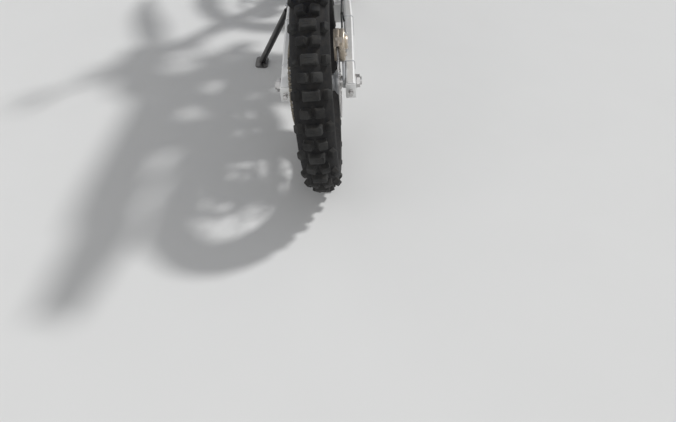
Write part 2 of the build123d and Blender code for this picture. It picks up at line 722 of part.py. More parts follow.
# Subframe behind the spars
RAIL_X = 60.0
RAIL_TUBE = 22.0
PANEL_BOSS = 18.0
PANEL_BOSS_Y, PANEL_BOSS_Z = 480.0, 848.0
CROSS_Z = 856.0
REAR_RAIL_KNEE = (520.0, 859.0)
REAR_RAIL = (60.0, 846.0)
CROSS_TUBE = 18.0
with BuildPart() as subframe:
    add(tube([(RAIL_X, 794, 834), (RAIL_X, *REAR_RAIL_KNEE), (RAIL_X - 6, *REAR_RAIL)], RAIL_TUBE, 200))
    add(tube([(RAIL_X + 4, 664, 626), (RAIL_X + 4, 420, 735), (RAIL_X - 4, 150, 844)], RAIL_TUBE - 2, 200))
    add(rod((-5, 90, 847), (RAIL_X - 5, 90, 847), 18))
    add(rod((-5, 520, CROSS_Z), (RAIL_X, 520, CROSS_Z), CROSS_TUBE))
    add(rod((RAIL_X, PANEL_BOSS_Y, PANEL_BOSS_Z), (RAIL_X + PANEL_BOSS, PANEL_BOSS_Y, PANEL_BOSS_Z), 14))
    add(rod((RAIL_X, 784, 835), (TAB_X - FIT, 784, 835), 20))
    add(rod((RAIL_X, 668, 626), (78 - FIT, 668, 626), 18))
    mirror(about=Plane.YZ)
keep("chassis", "subframe", subframe.part)

# Swingarm: two tapering arms bridged ahead of the tyre
arm_mid = ARM_INNER + ARM_THICK / 2
# Each row: Y, Z, centre X, width across, height
ARM_ROWS = [
    (PIVOT_Y + 26, PIVOT_Z, 66, 24, 50),
    (PIVOT_Y - 40, PIVOT_Z - 2, 68, 26, 54),
    (430, 393, 96, 26, 84),
    (300, 377, arm_mid, ARM_THICK, 74),
    (60, REAR_RADIUS + 8, arm_mid, ARM_THICK, 58),
    (-46, REAR_RADIUS - 4, arm_mid, ARM_THICK, 50),
]
with BuildPart() as swingarm:
    for y, z, x, wide, high in ARM_ROWS:
        with BuildSketch(Plane(origin=(x, y, z), x_dir=(1, 0, 0), z_dir=(0, -1, 0))):
            RectangleRounded(wide, high, 7)
    loft(ruled=True)
    with BuildSketch(Plane.YZ):
        with BuildLine():
            Polyline((392, 350), (384, 420), (428, 432), (452, 400), (440, 346), close=True)
        make_face()
    extrude(amount=ARM_INNER + 2)
    mirror(about=Plane.YZ)
    for y, z, bore in ((PIVOT_Y, PIVOT_Z, PIVOT_BOLT), (0, REAR_RADIUS, REAR_AXLE)):
        with BuildSketch(Plane.YZ.offset(-200)):
            with Locations((y, z)):
                Circle(bore / 2 + RUN)
        extrude(amount=400, mode=Mode.SUBTRACT)
keep("chassis", "swingarm", swingarm.part)

# Rear axle with its spacers and nuts, and the adjuster blocks behind it
hub_left, hub_right = -62 - FIT, DISC_X + DISC_THICK / 2 + FIT
NUT = 40.0
with BuildPart() as rear_axle:
    axle_half = ARM_INNER + ARM_THICK + AXLE_OUT
    add(disc_block(0, REAR_RADIUS, REAR_AXLE, -axle_half, 2 * axle_half))
    add(disc_block(0, REAR_RADIUS, 36, -ARM_INNER + FIT, hub_left + ARM_INNER - FIT))
    add(disc_block(0, REAR_RADIUS, 36, hub_right, 76 - hub_right - FIT))
    for side in (-1, 1):
        with BuildSketch(Plane.YZ.offset(side * (ARM_INNER + ARM_THICK + FIT))):
            with Locations((0, REAR_RADIUS)):
                RegularPolygon(NUT / 2, 6)
        extrude(amount=side * 14)
    add(disc_block(0, REAR_RADIUS, AXLE_BORE, -200, 400), mode=Mode.SUBTRACT)
keep("chassis", "rear_axle", rear_axle.part)

# Drive chain: inner links as a band round both sprockets, with outer link plates on every second pin
run = sqrt(COUNTERSHAFT_Y**2 + (COUNTERSHAFT_Z - REAR_RADIUS) ** 2)
slope = atan2(COUNTERSHAFT_Z - REAR_RADIUS, COUNTERSHAFT_Y)
wrap = acos((pitch_radius - drive_radius) / run)
rear_centre = Vector(0, REAR_RADIUS)
drive_centre = Vector(COUNTERSHAFT_Y, COUNTERSHAFT_Z)


def around(centre, radius, turn):
    return centre + Vector(radius * cos(slope + turn), radius * sin(slope + turn))


def chain_loop(grow):
    """The chain's loop beside its pitch line: two straight runs and the wraps on both sprockets."""
    rear_r, drive_r = pitch_radius + grow, drive_radius + grow
    upper = Line(around(rear_centre, rear_r, wrap), around(drive_centre, drive_r, wrap))
    front = ThreePointArc(upper @ 1, around(drive_centre, drive_r, 0), around(drive_centre, drive_r, -wrap))
    lower = Line(front @ 1, around(rear_centre, rear_r, -wrap))
    ThreePointArc(lower @ 1, around(rear_centre, rear_r, pi), upper @ 0)


def chain_places():
    """Middle and slope of each outer link, even steps along the pitch line."""
    straight = sqrt(run**2 - (pitch_radius - drive_radius) ** 2)
    rear_arc, drive_arc = 2 * (pi - wrap), 2 * wrap
    total = 2 * straight + rear_arc * pitch_radius + drive_arc * drive_radius
    links = round(total / (2 * CHAIN_PITCH))
    tilt_up, tilt_low = slope + wrap - pi / 2, slope - wrap + pi / 2
    for n in range(links):
        s = n * total / links
        if s < straight:
            at = around(rear_centre, pitch_radius, wrap) + Vector(cos(tilt_up), sin(tilt_up)) * s
            yield at, tilt_up
        elif s < straight + drive_arc * drive_radius:
            turn = wrap - (s - straight) / drive_radius
            yield around(drive_centre, drive_radius, turn), slope + turn - pi / 2
        elif s < 2 * straight + drive_arc * drive_radius:
            back = s - straight - drive_arc * drive_radius
            at = around(drive_centre, drive_radius, -wrap) - Vector(cos(tilt_low), sin(tilt_low)) * back
            yield at, tilt_low
        else:
            turn = -wrap - (s - 2 * straight - drive_arc * drive_radius) / pitch_radius
            yield around(rear_centre, pitch_radius, turn), slope + turn - pi / 2


with BuildPart() as chain:
    with BuildSketch(Plane.YZ.offset(CHAIN_X - CHAIN_WIDTH / 2)):
        with BuildLine():
            chain_loop(CHAIN_BAND / 2)
        make_face()
        with BuildLine():
            chain_loop(-CHAIN_BAND / 2)
        make_face(mode=Mode.SUBTRACT)
    extrude(amount=CHAIN_WIDTH)
    link_places = [
        Location((x, at.X, at.Y), (degrees(tilt), 0, 0))
        for at, tilt in chain_places()
        for x in (CHAIN_X - LINK_WIDTH / 2 + 2, CHAIN_X + LINK_WIDTH / 2 - 2)
    ]
    with Locations(*link_places):
        Box(4, CHAIN_PITCH + CHAIN_PLATE * 0.8, CHAIN_PLATE)
keep("chassis", "chain", chain.part)

with BuildPart() as drive_sprocket:
    with BuildSketch(Plane.YZ.offset(CHAIN_X - SPROCKET_THICK / 2)):
        with BuildLine():
            tooth = 2 * pi / FRONT_TEETH
            tips = drive_radius - TOOTH_DROP
            points = []
            for n in range(FRONT_TEETH):
                points.append(around(drive_centre, tips, n * tooth))
                points.append(around(drive_centre, tips - 5, (n + 0.5) * tooth))
            Polyline(*points, close=True)
        make_face()
    extrude(amount=SPROCKET_THICK)
    add(disc_block(COUNTERSHAFT_Y, COUNTERSHAFT_Z, 24, -82, 82 - 52 - FIT))
keep("chassis", "drive_sprocket", drive_sprocket.part)

# Chain guide under the left arm
GUIDE_X = -ARM_INNER + FIT
with BuildPart() as chain_guide:
    hanger = [(128, -78), (128, -28), (206, -10), (206, -60), (216, -114), (190, -134), (130, -138)]
    add(plate(by_axle(hanger), GUIDE_X, 3))
    add(plate(by_axle([(122, -140), (122, -122), (208, -102), (208, -128)]), GUIDE_X, 26))
    add(plate(by_axle([(130, -138), (128, -78), (206, -60), (212, -114), (190, -134)]), GUIDE_X + 23, 3))
keep("chassis", "chain_guide", chain_guide.part)

# Rear brake caliper above and ahead of the axle, on its carrier beside the arm
with BuildPart() as rear_caliper:
    add(plate(by_axle([(34, 48), (18, 108), (60, 136), (112, 112), (118, 72), (84, 44)]), 55, 29))
    with BuildSketch(Plane.YZ.offset(DISC_X - DISC_THICK / 2 - 1.5)):
        with Locations((0, REAR_RADIUS)):
            Circle(REAR_DISC / 2 + 3)
    extrude(amount=DISC_THICK + 3, mode=Mode.SUBTRACT)
    carrier = [(-22, -10), (-14, 24), (34, 60), (90, 60), (96, 44), (60, 26), (22, -14), (0, -22)]
    add(plate(by_axle(carrier), 76, 8.5))
    add(disc_block(0, REAR_RADIUS, REAR_AXLE + 2 * RUN, 70, 20), mode=Mode.SUBTRACT)
keep("chassis", "rear_caliper", rear_caliper.part)

# Engine: cases round crankshaft and gearbox, covers at both sides, cylinder and head
CRANK = (822, 428)
GEARBOX = (706, 424)
CASE_LEFT, CASE_RIGHT = -52.0, 62.0
PUMP = (852, 404)
PUMP_SIZE = 76.0
CYLINDER_TILT = 6.0
CYLINDER_FOOT = (846, 524)


def deck(y):
    """A point of the cases' deck, which the cylinder stands on."""
    return (y, CYLINDER_FOOT[1] - FIT - (y - CYLINDER_FOOT[0]) * tan(radians(CYLINDER_TILT)))


with BuildPart() as engine_cases:
    with BuildSketch(Plane.YZ.offset(CASE_LEFT)):
        with Locations(CRANK):
            Circle(92)
        with Locations(GEARBOX):
            Circle(70)
        with BuildLine():
            Polyline((640, 424), (652, 480), (720, 498), deck(782), deck(908), (918, 430), (880, 344),
                     (800, 337), (690, 345), (652, 380), close=True)
        make_face()
    extrude(amount=CASE_RIGHT - CASE_LEFT)
keep("chassis", "engine_cases", engine_cases.part)

with BuildPart() as engine_covers:
    add(disc_block(740, 430, 156, CASE_RIGHT + FIT, 34))
    add(disc_block(740, 430, 120, CASE_RIGHT + FIT, 42))
    add(disc_block(*PUMP, PUMP_SIZE, CASE_RIGHT + FIT, 30))
    add(disc_block(826, 430, 130, CASE_LEFT - FIT - 34, 34))
    add(disc_block(826, 430, 96, CASE_LEFT - FIT - 42, 42))
keep("chassis", "engine_covers", engine_covers.part)

cylinder_base = Vector(0, *CYLINDER_FOOT)
cylinder_up = Vector(0, sin(radians(CYLINDER_TILT)), cos(radians(CYLINDER_TILT)))
# Barrel, head and cam cover. Each row: height from and to, width, length, how much narrower at its top
CYLINDER_ROWS = [(0, 128, 100, 110, 2), (124, 196, 110, 120, 4), (192, 242, 102, 102, 16)]
with BuildPart() as cylinder:
    for low, high, wide, long, taper_in in CYLINDER_ROWS:
        for up, narrow in ((low, 0), (high, taper_in)):
            at = cylinder_base + cylinder_up * up
            with BuildSketch(Plane(origin=at, x_dir=(1, 0, 0), z_dir=cylinder_up)):
                RectangleRounded(wide - narrow, long - narrow, 12)
        loft(ruled=True)
keep("chassis", "cylinder", cylinder.part)

# Skid plate below the cradle tubes
SKID_THICK = 4.0
SKID_HALF = 96.0


def below_cradle(start, end, share, drop):
    """A point beside a cradle run, at a share of its length, dropped off the tube's underside."""
    start, end = Vector(0, *start[1:]), Vector(0, *end[1:])
    run_dir = (end - start).normalized()
    return start + (end - start) * share + Vector(0, run_dir.Z, -run_dir.Y) * (CRADLE / 2 + drop)


rear_in = below_cradle(CRADLE_REAR, CRADLE_FRONT, 0, FIT)
mid_in = below_cradle(CRADLE_REAR, CRADLE_FRONT, 0.9, FIT)
front_in = below_cradle(CRADLE_FRONT, CRADLE_KNEE, 0.3, FIT)
top_in = below_cradle(CRADLE_FRONT, CRADLE_KNEE, 0.7, FIT)
with BuildPart() as skid_plate:
    with BuildSketch(Plane.YZ.offset(-SKID_HALF)):
        with BuildLine():
            inner = Polyline(*[(p.Y, p.Z) for p in (rear_in, mid_in)])
            knee = TangentArc(inner @ 1, (front_in.Y, front_in.Z), tangent=inner % 1)
            upper = Line(knee @ 1, (top_in.Y, top_in.Z))
            offset(amount=-SKID_THICK, side=Side.RIGHT)
        make_face()
    extrude(amount=2 * SKID_HALF)
keep("chassis", "skid_plate", skid_plate.part)

# Exhaust: header round the right side, silencer behind it
HEADER = 42.0
cylinder_front = Vector(0, cos(radians(CYLINDER_TILT)), -sin(radians(CYLINDER_TILT)))
port = cylinder_base + cylinder_up * 160 + cylinder_front * (CYLINDER_ROWS[1][3] / 2 + FIT)
SILENCER_X = 118.0
silencer_dir = Vector(0, -1.0, 0.13).normalized()
silencer_start = Vector(SILENCER_X, 328, 743)
exhaust_route = [
    tuple(port), tuple(port + cylinder_front * 46), (96, 968, 640), (124, 886, 622), (124, 700, 636),
    (SILENCER_X, 460, 700), tuple(silencer_start - silencer_dir * 60), tuple(silencer_start - silencer_dir * FIT),
]
keep("chassis", "exhaust_header", tube(exhaust_route, HEADER, 40))

# Each row: distance along, width, height
SILENCER_ROWS = [(0, 46, 46), (50, 76, 100), (360, 76, 100), (410, 50, 58)]
with BuildPart() as silencer:
    for along, wide, high in SILENCER_ROWS:
        at = silencer_start + silencer_dir * along
        with BuildSketch(Plane(origin=at, x_dir=(1, 0, 0), z_dir=silencer_dir)):
            RectangleRounded(wide, high, min(wide, high) * 0.42)
    loft(ruled=True)
keep("chassis", "silencer", silencer.part)

# Radiators, laid back with the fork: core, end tanks, and brackets to the down tube
RADIATOR = Vector(128, NOSE_Y - 510, 745)
CORE = (78, 30, 186)
END_TANK = (82, 36, 28)
end_tank_up = (CORE[2] + END_TANK[2]) / 2 - 1


def on_down_tube(z):
    """The down tube's middle at a height."""
    top, foot = Vector(*DOWN_ROUTE[1]), Vector(*DOWN_ROUTE[2])
    return foot + (top - foot) * ((z - foot.Z) / (top.Z - foot.Z))


with BuildPart() as radiators:
    with Locations(Plane(origin=RADIATOR, x_dir=(1, 0, 0), z_dir=STEER_DIR)):
        Box(*CORE)
        with Locations((0, 0, end_tank_up), (0, 0, -end_tank_up)):
            Box(*END_TANK)
    for up in (0.9 * end_tank_up, -0.3 * end_tank_up):
        ear = RADIATOR + STEER_DIR * up - Vector(CORE[0] / 2 - 2, 0, 0)
        way = (on_down_tube(ear.Z) - ear).normalized()
        reach = (on_down_tube(ear.Z) - ear).length - DOWN_TUBE / 2 - 2 * FIT
        add(rod(ear, ear + way * reach, 12))
    mirror(about=Plane.YZ)
keep("chassis", "radiators", radiators.part)

# Fuel tank between the spars, on a pad at each side, with its cap.
# Each row: Z, centre Y, half width, half length
PAD_Y, PAD_Z = 905.0, 884.0
pad_share = (PAD_Y - SPAR_ROWS[3][0]) / (SPAR_ROWS[2][0] - SPAR_ROWS[3][0])
pad_spar_x = SPAR_ROWS[3][2] + (SPAR_ROWS[2][2] - SPAR_ROWS[3][2]) * pad_share
PAD_REACH = pad_spar_x - SPAR_ROWS[2][4] / 2 - 3 * FIT
TANK_ROWS = [
    (790, 872, 46, 54), (930, 878, 50, 62), (982, 884, 56, 72), (1003, 885, 92, 87), (1018, 886, 90, 84),
    (1032, 887, 66, 74),
]
with BuildPart() as fuel_tank:
    for z, y, half_wide, half_long in TANK_ROWS:
        with BuildSketch(Plane(origin=(0, y, z))):
            RectangleRounded(2 * half_wide, 2 * half_long, 26)
    loft(ruled=True)
    with BuildSketch(Plane(origin=(0, 905, 1026))):
        Circle(34)
    extrude(amount=18)
    add(rod((-PAD_REACH, PAD_Y, PAD_Z), (PAD_REACH, PAD_Y, PAD_Z), 16))
keep("chassis", "fuel_tank", fuel_tank.part)

# Seat: sections along its length. Each row: Y, base Z, top Z, base half width, top half width
SEAT_ROWS = [(30, 913, 956, 72, 52), (200, 897, 962, 84, 62), (480, 871, 946, 82, 60), (700, 868, 952, 64, 46),
             (800, 900, 992, 52, 34)]
with BuildPart() as seat:
    for y, low, high, base_half, top_half in SEAT_ROWS:
        with BuildSketch(Plane(origin=(0, y, 0), x_dir=(1, 0, 0), z_dir=(0, -1, 0))):
            with BuildLine():
                Polyline((-base_half, low), (-base_half, low + 22), (-top_half, high - 8), (-top_half + 14, high),
                         (top_half - 14, high), (top_half, high - 8), (base_half, low + 22), (base_half, low),
                         close=True)
            make_face()
    loft(ruled=True)
keep("chassis", "seat", seat.part)


def panel_x(y, z, outline, x, bulge, middle, wall, lean):
    """The middle of such a panel's wall at a place of the side view."""
    across = sqrt((bulge - wall / 2) ** 2 - (y - middle) ** 2) - bulge
    return x + across / cos(radians(lean)) + (outline[0][1] - z) * tan(radians(lean))


def curved_panel(outline, x, bulge, middle, wall, lean):
    """A bodywork panel cut from a large upright drum, leaning in at its top."""
    with BuildPart() as piece:
        with BuildSketch(Plane.XY.offset(500)):
            with Locations((x - bulge, middle)):
                Circle(bulge)
                Circle(bulge - wall, mode=Mode.SUBTRACT)
        extrude(amount=600)
        with BuildSketch(Plane.YZ):
            with BuildLine():
                Polyline(*outline, close=True)
            make_face()
        extrude(amount=400, mode=Mode.INTERSECT)
    return piece.part.rotate(Axis((x, 0, outline[0][1]), (0, 1, 0)), -lean)


PANEL_WALL = 3.0
SHROUD_FRONT = [(-450, 930), (-472, 800), (-515, 690), (-580, 640), (-640, 700)]
SHROUD = [(NOSE_Y + y, z) for y, z in SHROUD_FRONT] + [(900, 800), (800, 900), (790, 950), (980, 985)]
SHROUD_FORM = (SHROUD, 184, 520, NOSE_Y - 500, PANEL_WALL, 6)
with BuildPart() as shrouds:
    add(curved_panel(*SHROUD_FORM))
    for up, wide in ((end_tank_up, END_TANK[0]), (0, CORE[0])):
        at = RADIATOR + STEER_DIR * up
        face = RADIATOR.X + wide / 2 + FIT
        add(rod((face, at.Y, at.Z), (panel_x(at.Y, at.Z, *SHROUD_FORM), at.Y, at.Z), 14))
    mirror(about=Plane.YZ)
keep("chassis", "shrouds", shrouds.part)
SIDE = [(130, 866), (240, 760), (420, 690), (560, 640), (640, 700), (650, 830), (560, 850), (300, 868)]
SIDE_FORMS = [(-1, (SIDE, 112, 1600, 420, PANEL_WALL, 12)), (1, (SIDE, 142, 3000, 420, PANEL_WALL, 22))]
with BuildPart() as side_panels:
    for side, form in SIDE_FORMS:
        panel = curved_panel(*form)
        add(panel if side > 0 else panel.mirror(Plane.YZ))
        start = side * (RAIL_X + PANEL_BOSS + FIT)
        add(rod((start, PANEL_BOSS_Y, PANEL_BOSS_Z),
                (side * panel_x(PANEL_BOSS_Y, PANEL_BOSS_Z, *form), PANEL_BOSS_Y, PANEL_BOSS_Z), 12))
keep("chassis", "side_panels", side_panels.part)

# Rear fender behind the seat, notched at its tip
REAR_FENDER = [
    (240, 868, -8, 66, 9, 2),
    (120, 879, -9, 82, 12, 24),
    (20, 889, -9, 92, 15, 42),
    (-160, 917, -5, 78, 14, 26),
    (-300, 930, -2, 62, 9, 10),
]
with BuildPart() as rear_fender:
    add(arched_shell(REAR_FENDER, FENDER_WALL))
    with BuildSketch(Plane.XY.offset(800)):
        with Locations((0, -318)):
            Circle(40)
    extrude(amount=200, mode=Mode.SUBTRACT)
    pad_z = REAR_RAIL[1] + (REAR_RAIL_KNEE[1] - REAR_RAIL[1]) * 0.087 + RAIL_TUBE / 2 + 2 * FIT
    for side in (-1, 1):
        add(rod((side * (RAIL_X - 5), 100, pad_z), (side * (RAIL_X - 5), 100, 884), 12))
keep("chassis", "rear_fender", rear_fender.part)

# Airbox under the seat
AIRBOX_FRONT = 560.0
with BuildPart() as airbox:
    airbox_top = CROSS_Z - CROSS_TUBE / 2 - FIT
    for y, half, low in ((AIRBOX_FRONT, 40, 690), (500, 46, 650), (380, 46, 720)):
        with BuildSketch(Plane(origin=(0, y, 0), x_dir=(1, 0, 0), z_dir=(0, -1, 0))):
            with Locations((0, (low + airbox_top) / 2)):
                RectangleRounded(2 * half, airbox_top - low, 16)
    loft(ruled=True)
keep("chassis", "airbox", airbox.part)

# Intake boot from the back of the head to the airbox
INTAKE = 50.0
intake_up = 166.0
head_foot, head_brim, head_taper = CYLINDER_ROWS[1][0], CYLINDER_ROWS[1][1], CYLINDER_ROWS[1][4] / 2
head_fall = head_taper / (head_brim - head_foot)
intake_back = CYLINDER_ROWS[1][3] / 2 - head_fall * (intake_up - head_foot - INTAKE / 2) + FIT
intake_port = cylinder_base + cylinder_up * intake_up - cylinder_front * intake_back
intake_route = [
    tuple(intake_port), tuple(intake_port - cylinder_front * 30), (0, 700, 757), (0, 640, 786),
    (0, AIRBOX_FRONT + FIT, 786),
]
keep("chassis", "intake", tube(intake_route, INTAKE, 45))

# Coolant hose from the right radiator's lower tank down to the pump on the right cover
COOLANT_HOSE = 20.0
hose_top = RADIATOR + Vector(-16, 0, 0) - STEER_DIR * end_tank_up - FORWARD * (END_TANK[1] / 2 + FIT)
pump_way = Vector(0, cos(radians(35)), sin(radians(35)))
hose_foot = Vector(80, PUMP[0], PUMP[1]) + pump_way * (PUMP_SIZE / 2 + FIT)
coolant_route = [
    tuple(hose_top), tuple(hose_top - FORWARD * 40), (98, 985, 500), tuple(hose_foot + pump_way * 42),
    tuple(hose_foot),
]
keep("chassis", "radiator_hose", tube(coolant_route, COOLANT_HOSE, 50))

# Shock absorber in the middle, its spring round it
shock_top, shock_low = Vector(0, 638, 692), Vector(0, 512, 352)
shock_dir = (shock_low - shock_top).normalized()
SPRING_FROM, SPRING_TO = 92.0, 300.0
SPRING_SEAT = 6.0
RESERVOIR_AHEAD = 66.0
with BuildPart() as shock:
    for end in (shock_top, shock_low):
        add(rod(end - Vector(SHOCK_EYE / 2, 0, 0), end + Vector(SHOCK_EYE / 2, 0, 0), 30))
    add(rod(shock_top + shock_dir * 10, shock_top + shock_dir * 30, 24))
    add(rod(shock_top + shock_dir * 26, shock_top + shock_dir * 210, 46))
    add(rod(shock_top + shock_dir * 200, shock_low, 16))
    for along in (SPRING_FROM - SPRING_SEAT, SPRING_TO):
        add(rod(shock_top + shock_dir * along, shock_top + shock_dir * (along + SPRING_SEAT), 74))
    reservoir = shock_top + shock_dir * 34 + Vector(0, RESERVOIR_AHEAD, 0)
    add(rod(reservoir, reservoir + shock_dir * 130, 46))
    add(rod(shock_top + shock_dir * 46, shock_top + shock_dir * 46 + Vector(0, RESERVOIR_AHEAD, 0), 24))
    add(rod(shock_low - Vector(20, 0, 0), shock_low + Vector(20, 0, 0), 14 + 2 * RUN), mode=Mode.SUBTRACT)
keep("chassis", "shock", shock.part)

# Linkage: two rocker plates from the swingarm's bridge to the shock's foot and the cradle
with BuildPart() as shock_linkage:
    add(plate([
        (420, 340), (440, 328), (520, 324), (588, 311), (591, 324), (526, 366), (500, 370), (456, 344), (430, 341),
    ], SHOCK_EYE / 2 + FIT, 8))
    add(rod((-5, 512, 352), (SHOCK_EYE / 2 + 8, 512, 352), 14))
    add(rod((-5, 434, 336), (SHOCK_EYE / 2 + 8, 434, 336), 14))
    mirror(about=Plane.YZ)
keep("chassis", "shock_linkage", shock_linkage.part)

# The spring is one bar wound up the damper, in short straight facets
COILS = 6.5
COIL_FACETS = 14
COIL_WIRE = 11.0
COIL_RADIUS = 30.0
spring_from, spring_to = SPRING_FROM + FIT, SPRING_TO - FIT
coil_side = Vector(1, 0, 0)
coil_fore = shock_dir.cross(coil_side)
coil_steps = round(COILS * COIL_FACETS)


def on_coil(n):
    turn = 2 * pi * n / COIL_FACETS
    along = spring_from + COIL_WIRE / 2 + (spring_to - spring_from - COIL_WIRE) * n / coil_steps
    return shock_top + shock_dir * along + (coil_side * cos(turn) + coil_fore * sin(turn)) * COIL_RADIUS


with BuildPart() as shock_spring:
    with BuildLine() as coil:
        Polyline(*[on_coil(n) for n in range(coil_steps + 1)])
    with BuildSketch(Plane(origin=coil.line @ 0, z_dir=coil.line % 0)):
        RegularPolygon(COIL_WIRE / 2, 8)
    sweep(path=coil.line, transition=Transition.RIGHT)
keep("chassis", "shock_spring", shock_spring.part)

# Foot pegs on their brackets, gear lever and brake pedal
with BuildPart() as foot_pegs:
    with BuildSketch(Plane.XY.offset(384)):
        with BuildLine():
            Polyline((112, 566), (124, 558), (232, 560), (238, 574), (238, 590), (230, 602), (124, 602),
                     (112, 594), close=True)
        make_face()
        with Locations((156, 580), (202, 580)):
            Rectangle(34, 22, mode=Mode.SUBTRACT)
    extrude(amount=14)
    add(disc_block(580, 372, 26, PLATE_X + PLATE_THICK + FIT, 32))
    add(rod((108, 580, 372), (128, 580, 390), 16))
    mirror(about=Plane.YZ)
keep("chassis", "foot_pegs", foot_pegs.part)

with BuildPart() as foot_controls:
    add(rod((-52 - FIT, 704, 356), (-106, 704, 356), 12))
    add(rod((-104, 704, 356), (-112, 776, 384), 10))
    add(rod((-106, 776, 384), (-142, 778, 384), 16))
    add(rod((PLATE_X + PLATE_THICK + FIT, 612, 345), (116, 612, 345), 16))
    add(tube([(112, 612, 345), (116, 660, 352), (128, 748, 372)], 11, 60))
    add(rod((112, 748, 372), (150, 748, 374), 14))
keep("chassis", "foot_controls", foot_controls.part)

# Rear brake hose along the right arm
hose_route = [
    (80, 114.9, REAR_RADIUS + 96), (80, 160, REAR_RADIUS + 102), (78, 250, 440), (80, 420, 446), (82, 520, 440),
]
keep("chassis", "rear_brake_hose", tube(hose_route, 6.5, 40))

# Side stand: an eye on its pin, the leg and a flat foot
with BuildPart() as side_stand:
    eye_end = fold_dir * (STAND_EYE_LONG / 2)
    add(rod(stand_pivot - eye_end, stand_pivot + eye_end, STAND_EYE))
    add(rod(stand_pivot + stand_down * 6, stand_pivot + stand_down * 34, 16))
    add(rod(stand_pivot + stand_down * 26, stand_foot + ground_up * 10, STAND_TUBE))
    with BuildSketch(Plane(origin=stand_foot, x_dir=(0, 1, 0), z_dir=ground_up)):
        RectangleRounded(84, 52, 16)
    extrude(amount=8)
    add(rod(stand_pivot - eye_end * 3, stand_pivot + eye_end * 3, STAND_PIN + 2 * RUN), mode=Mode.SUBTRACT)
    with BuildSketch(Plane(origin=stand_foot, x_dir=(0, 1, 0), z_dir=-ground_up)):
        Rectangle(120, 120)
    extrude(amount=40, mode=Mode.SUBTRACT)
keep("side_stand", "side_stand", side_stand.part)

# The steering turns onto its left stop, then everything is parked and centred on its own box
placed = {body: [] for body in bodies}
for body, pieces in bodies.items():
    for piece in pieces:
        steered = body in ("steering", "front_wheel")
        turned = piece.rotate(steering_axis, STEER_LOCK) if steered else piece
        turned = turned.moved(parked)
        turned.label = piece.label
        placed[body].append(turned)

boxes = [piece.bounding_box() for pieces in placed.values() for piece in pieces]
middle = Vector(
    -(min(b.min.X for b in boxes) + max(b.max.X for b in boxes)) / 2,
    -(min(b.min.Y for b in boxes) + max(b.max.Y for b in boxes)) / 2,
    -min(b.min.Z for b in boxes),
)
centred = Location(middle)
for pieces in placed.values():
    for piece in pieces:
        final = piece.moved(centred)
        final.label = piece.label
        export_step(final, f"parts/{final.label}.step")
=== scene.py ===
import json
import math
import random

import bmesh
import bpy
from mathutils import Matrix, Vector
from mathutils.geometry import delaunay_2d_cdt


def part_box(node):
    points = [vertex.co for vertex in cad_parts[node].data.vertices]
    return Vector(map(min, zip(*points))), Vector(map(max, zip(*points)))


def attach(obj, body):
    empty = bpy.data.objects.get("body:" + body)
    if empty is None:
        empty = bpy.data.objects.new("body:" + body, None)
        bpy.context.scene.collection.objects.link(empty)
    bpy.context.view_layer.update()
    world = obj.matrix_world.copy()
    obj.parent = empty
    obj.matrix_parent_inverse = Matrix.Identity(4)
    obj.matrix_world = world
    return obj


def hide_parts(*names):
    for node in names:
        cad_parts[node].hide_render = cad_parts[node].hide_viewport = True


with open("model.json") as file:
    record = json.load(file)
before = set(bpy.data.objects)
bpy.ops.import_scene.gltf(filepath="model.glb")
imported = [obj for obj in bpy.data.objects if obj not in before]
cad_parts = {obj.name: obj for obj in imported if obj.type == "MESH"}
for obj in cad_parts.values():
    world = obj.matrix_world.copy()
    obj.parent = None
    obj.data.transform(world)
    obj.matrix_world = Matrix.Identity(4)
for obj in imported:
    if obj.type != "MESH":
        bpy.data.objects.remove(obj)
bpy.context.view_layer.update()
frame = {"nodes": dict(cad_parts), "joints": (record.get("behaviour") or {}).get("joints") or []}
random.seed(7)

# Sizes are in millimetres of the upright bike, X to its right, Y forward, Z up, from the ground
# under the rear axle. The matrices below carry them to the parked bike, in metres.
MM = 0.001
RAKE = math.radians(27.0)
STEER_LOCK = math.radians(42.0)
WHEELBASE = 1485.0
TRAIL = 115.0
REAR_RADIUS = 340.0
FRONT_RADIUS = 348.0
FORK_SPREAD = 105.0
FORK_OFFSET = 22.0
LOWER_CLAMP_Z, UPPER_CLAMP_Z = 945.0, 1105.0
CLAMP_THICK = 32.0
CHAIN_X = -71.0
CHAIN_PITCH = 15.875
REAR_TEETH, FRONT_TEETH = 48, 13
COUNTERSHAFT = (668.0, 420.0)
REAR_DISC_X, FRONT_DISC_X = 66.0, -58.0
SIDES = (-1, 1)
RIGHT, FORWARD, UP = Vector((1, 0, 0)), Vector((0, 1, 0)), Vector((0, 0, 1))

joints = {joint["name"]: joint for joint in frame["joints"]}


def joint_axis(name):
    return Vector(joints[name]["axis"]).normalized()


def joint_point(name):
    return Vector(joints[name]["pos_m"])


across, column = joint_axis("rear_wheel_spin"), joint_axis("steering_turn")
column_ahead = column.cross(across)
forward = column_ahead * math.cos(RAKE) - column * math.sin(RAKE)
upward = column_ahead * math.sin(RAKE) + column * math.cos(RAKE)
turned = Matrix((across, forward, upward)).transposed()
ground_point = joint_point("rear_wheel_spin") - upward * REAR_RADIUS * MM
chassis_m = Matrix.Translation(ground_point) @ turned.to_4x4() @ Matrix.Scale(MM, 4)
stem = Matrix.Translation(joint_point("steering_turn"))
steer_m = stem @ Matrix.Rotation(STEER_LOCK, 4, column) @ stem.inverted() @ chassis_m
PLACES = {
    "chassis": chassis_m, "rear_wheel": chassis_m, "side_stand": chassis_m,
    "steering": steer_m, "front_wheel": steer_m,
}

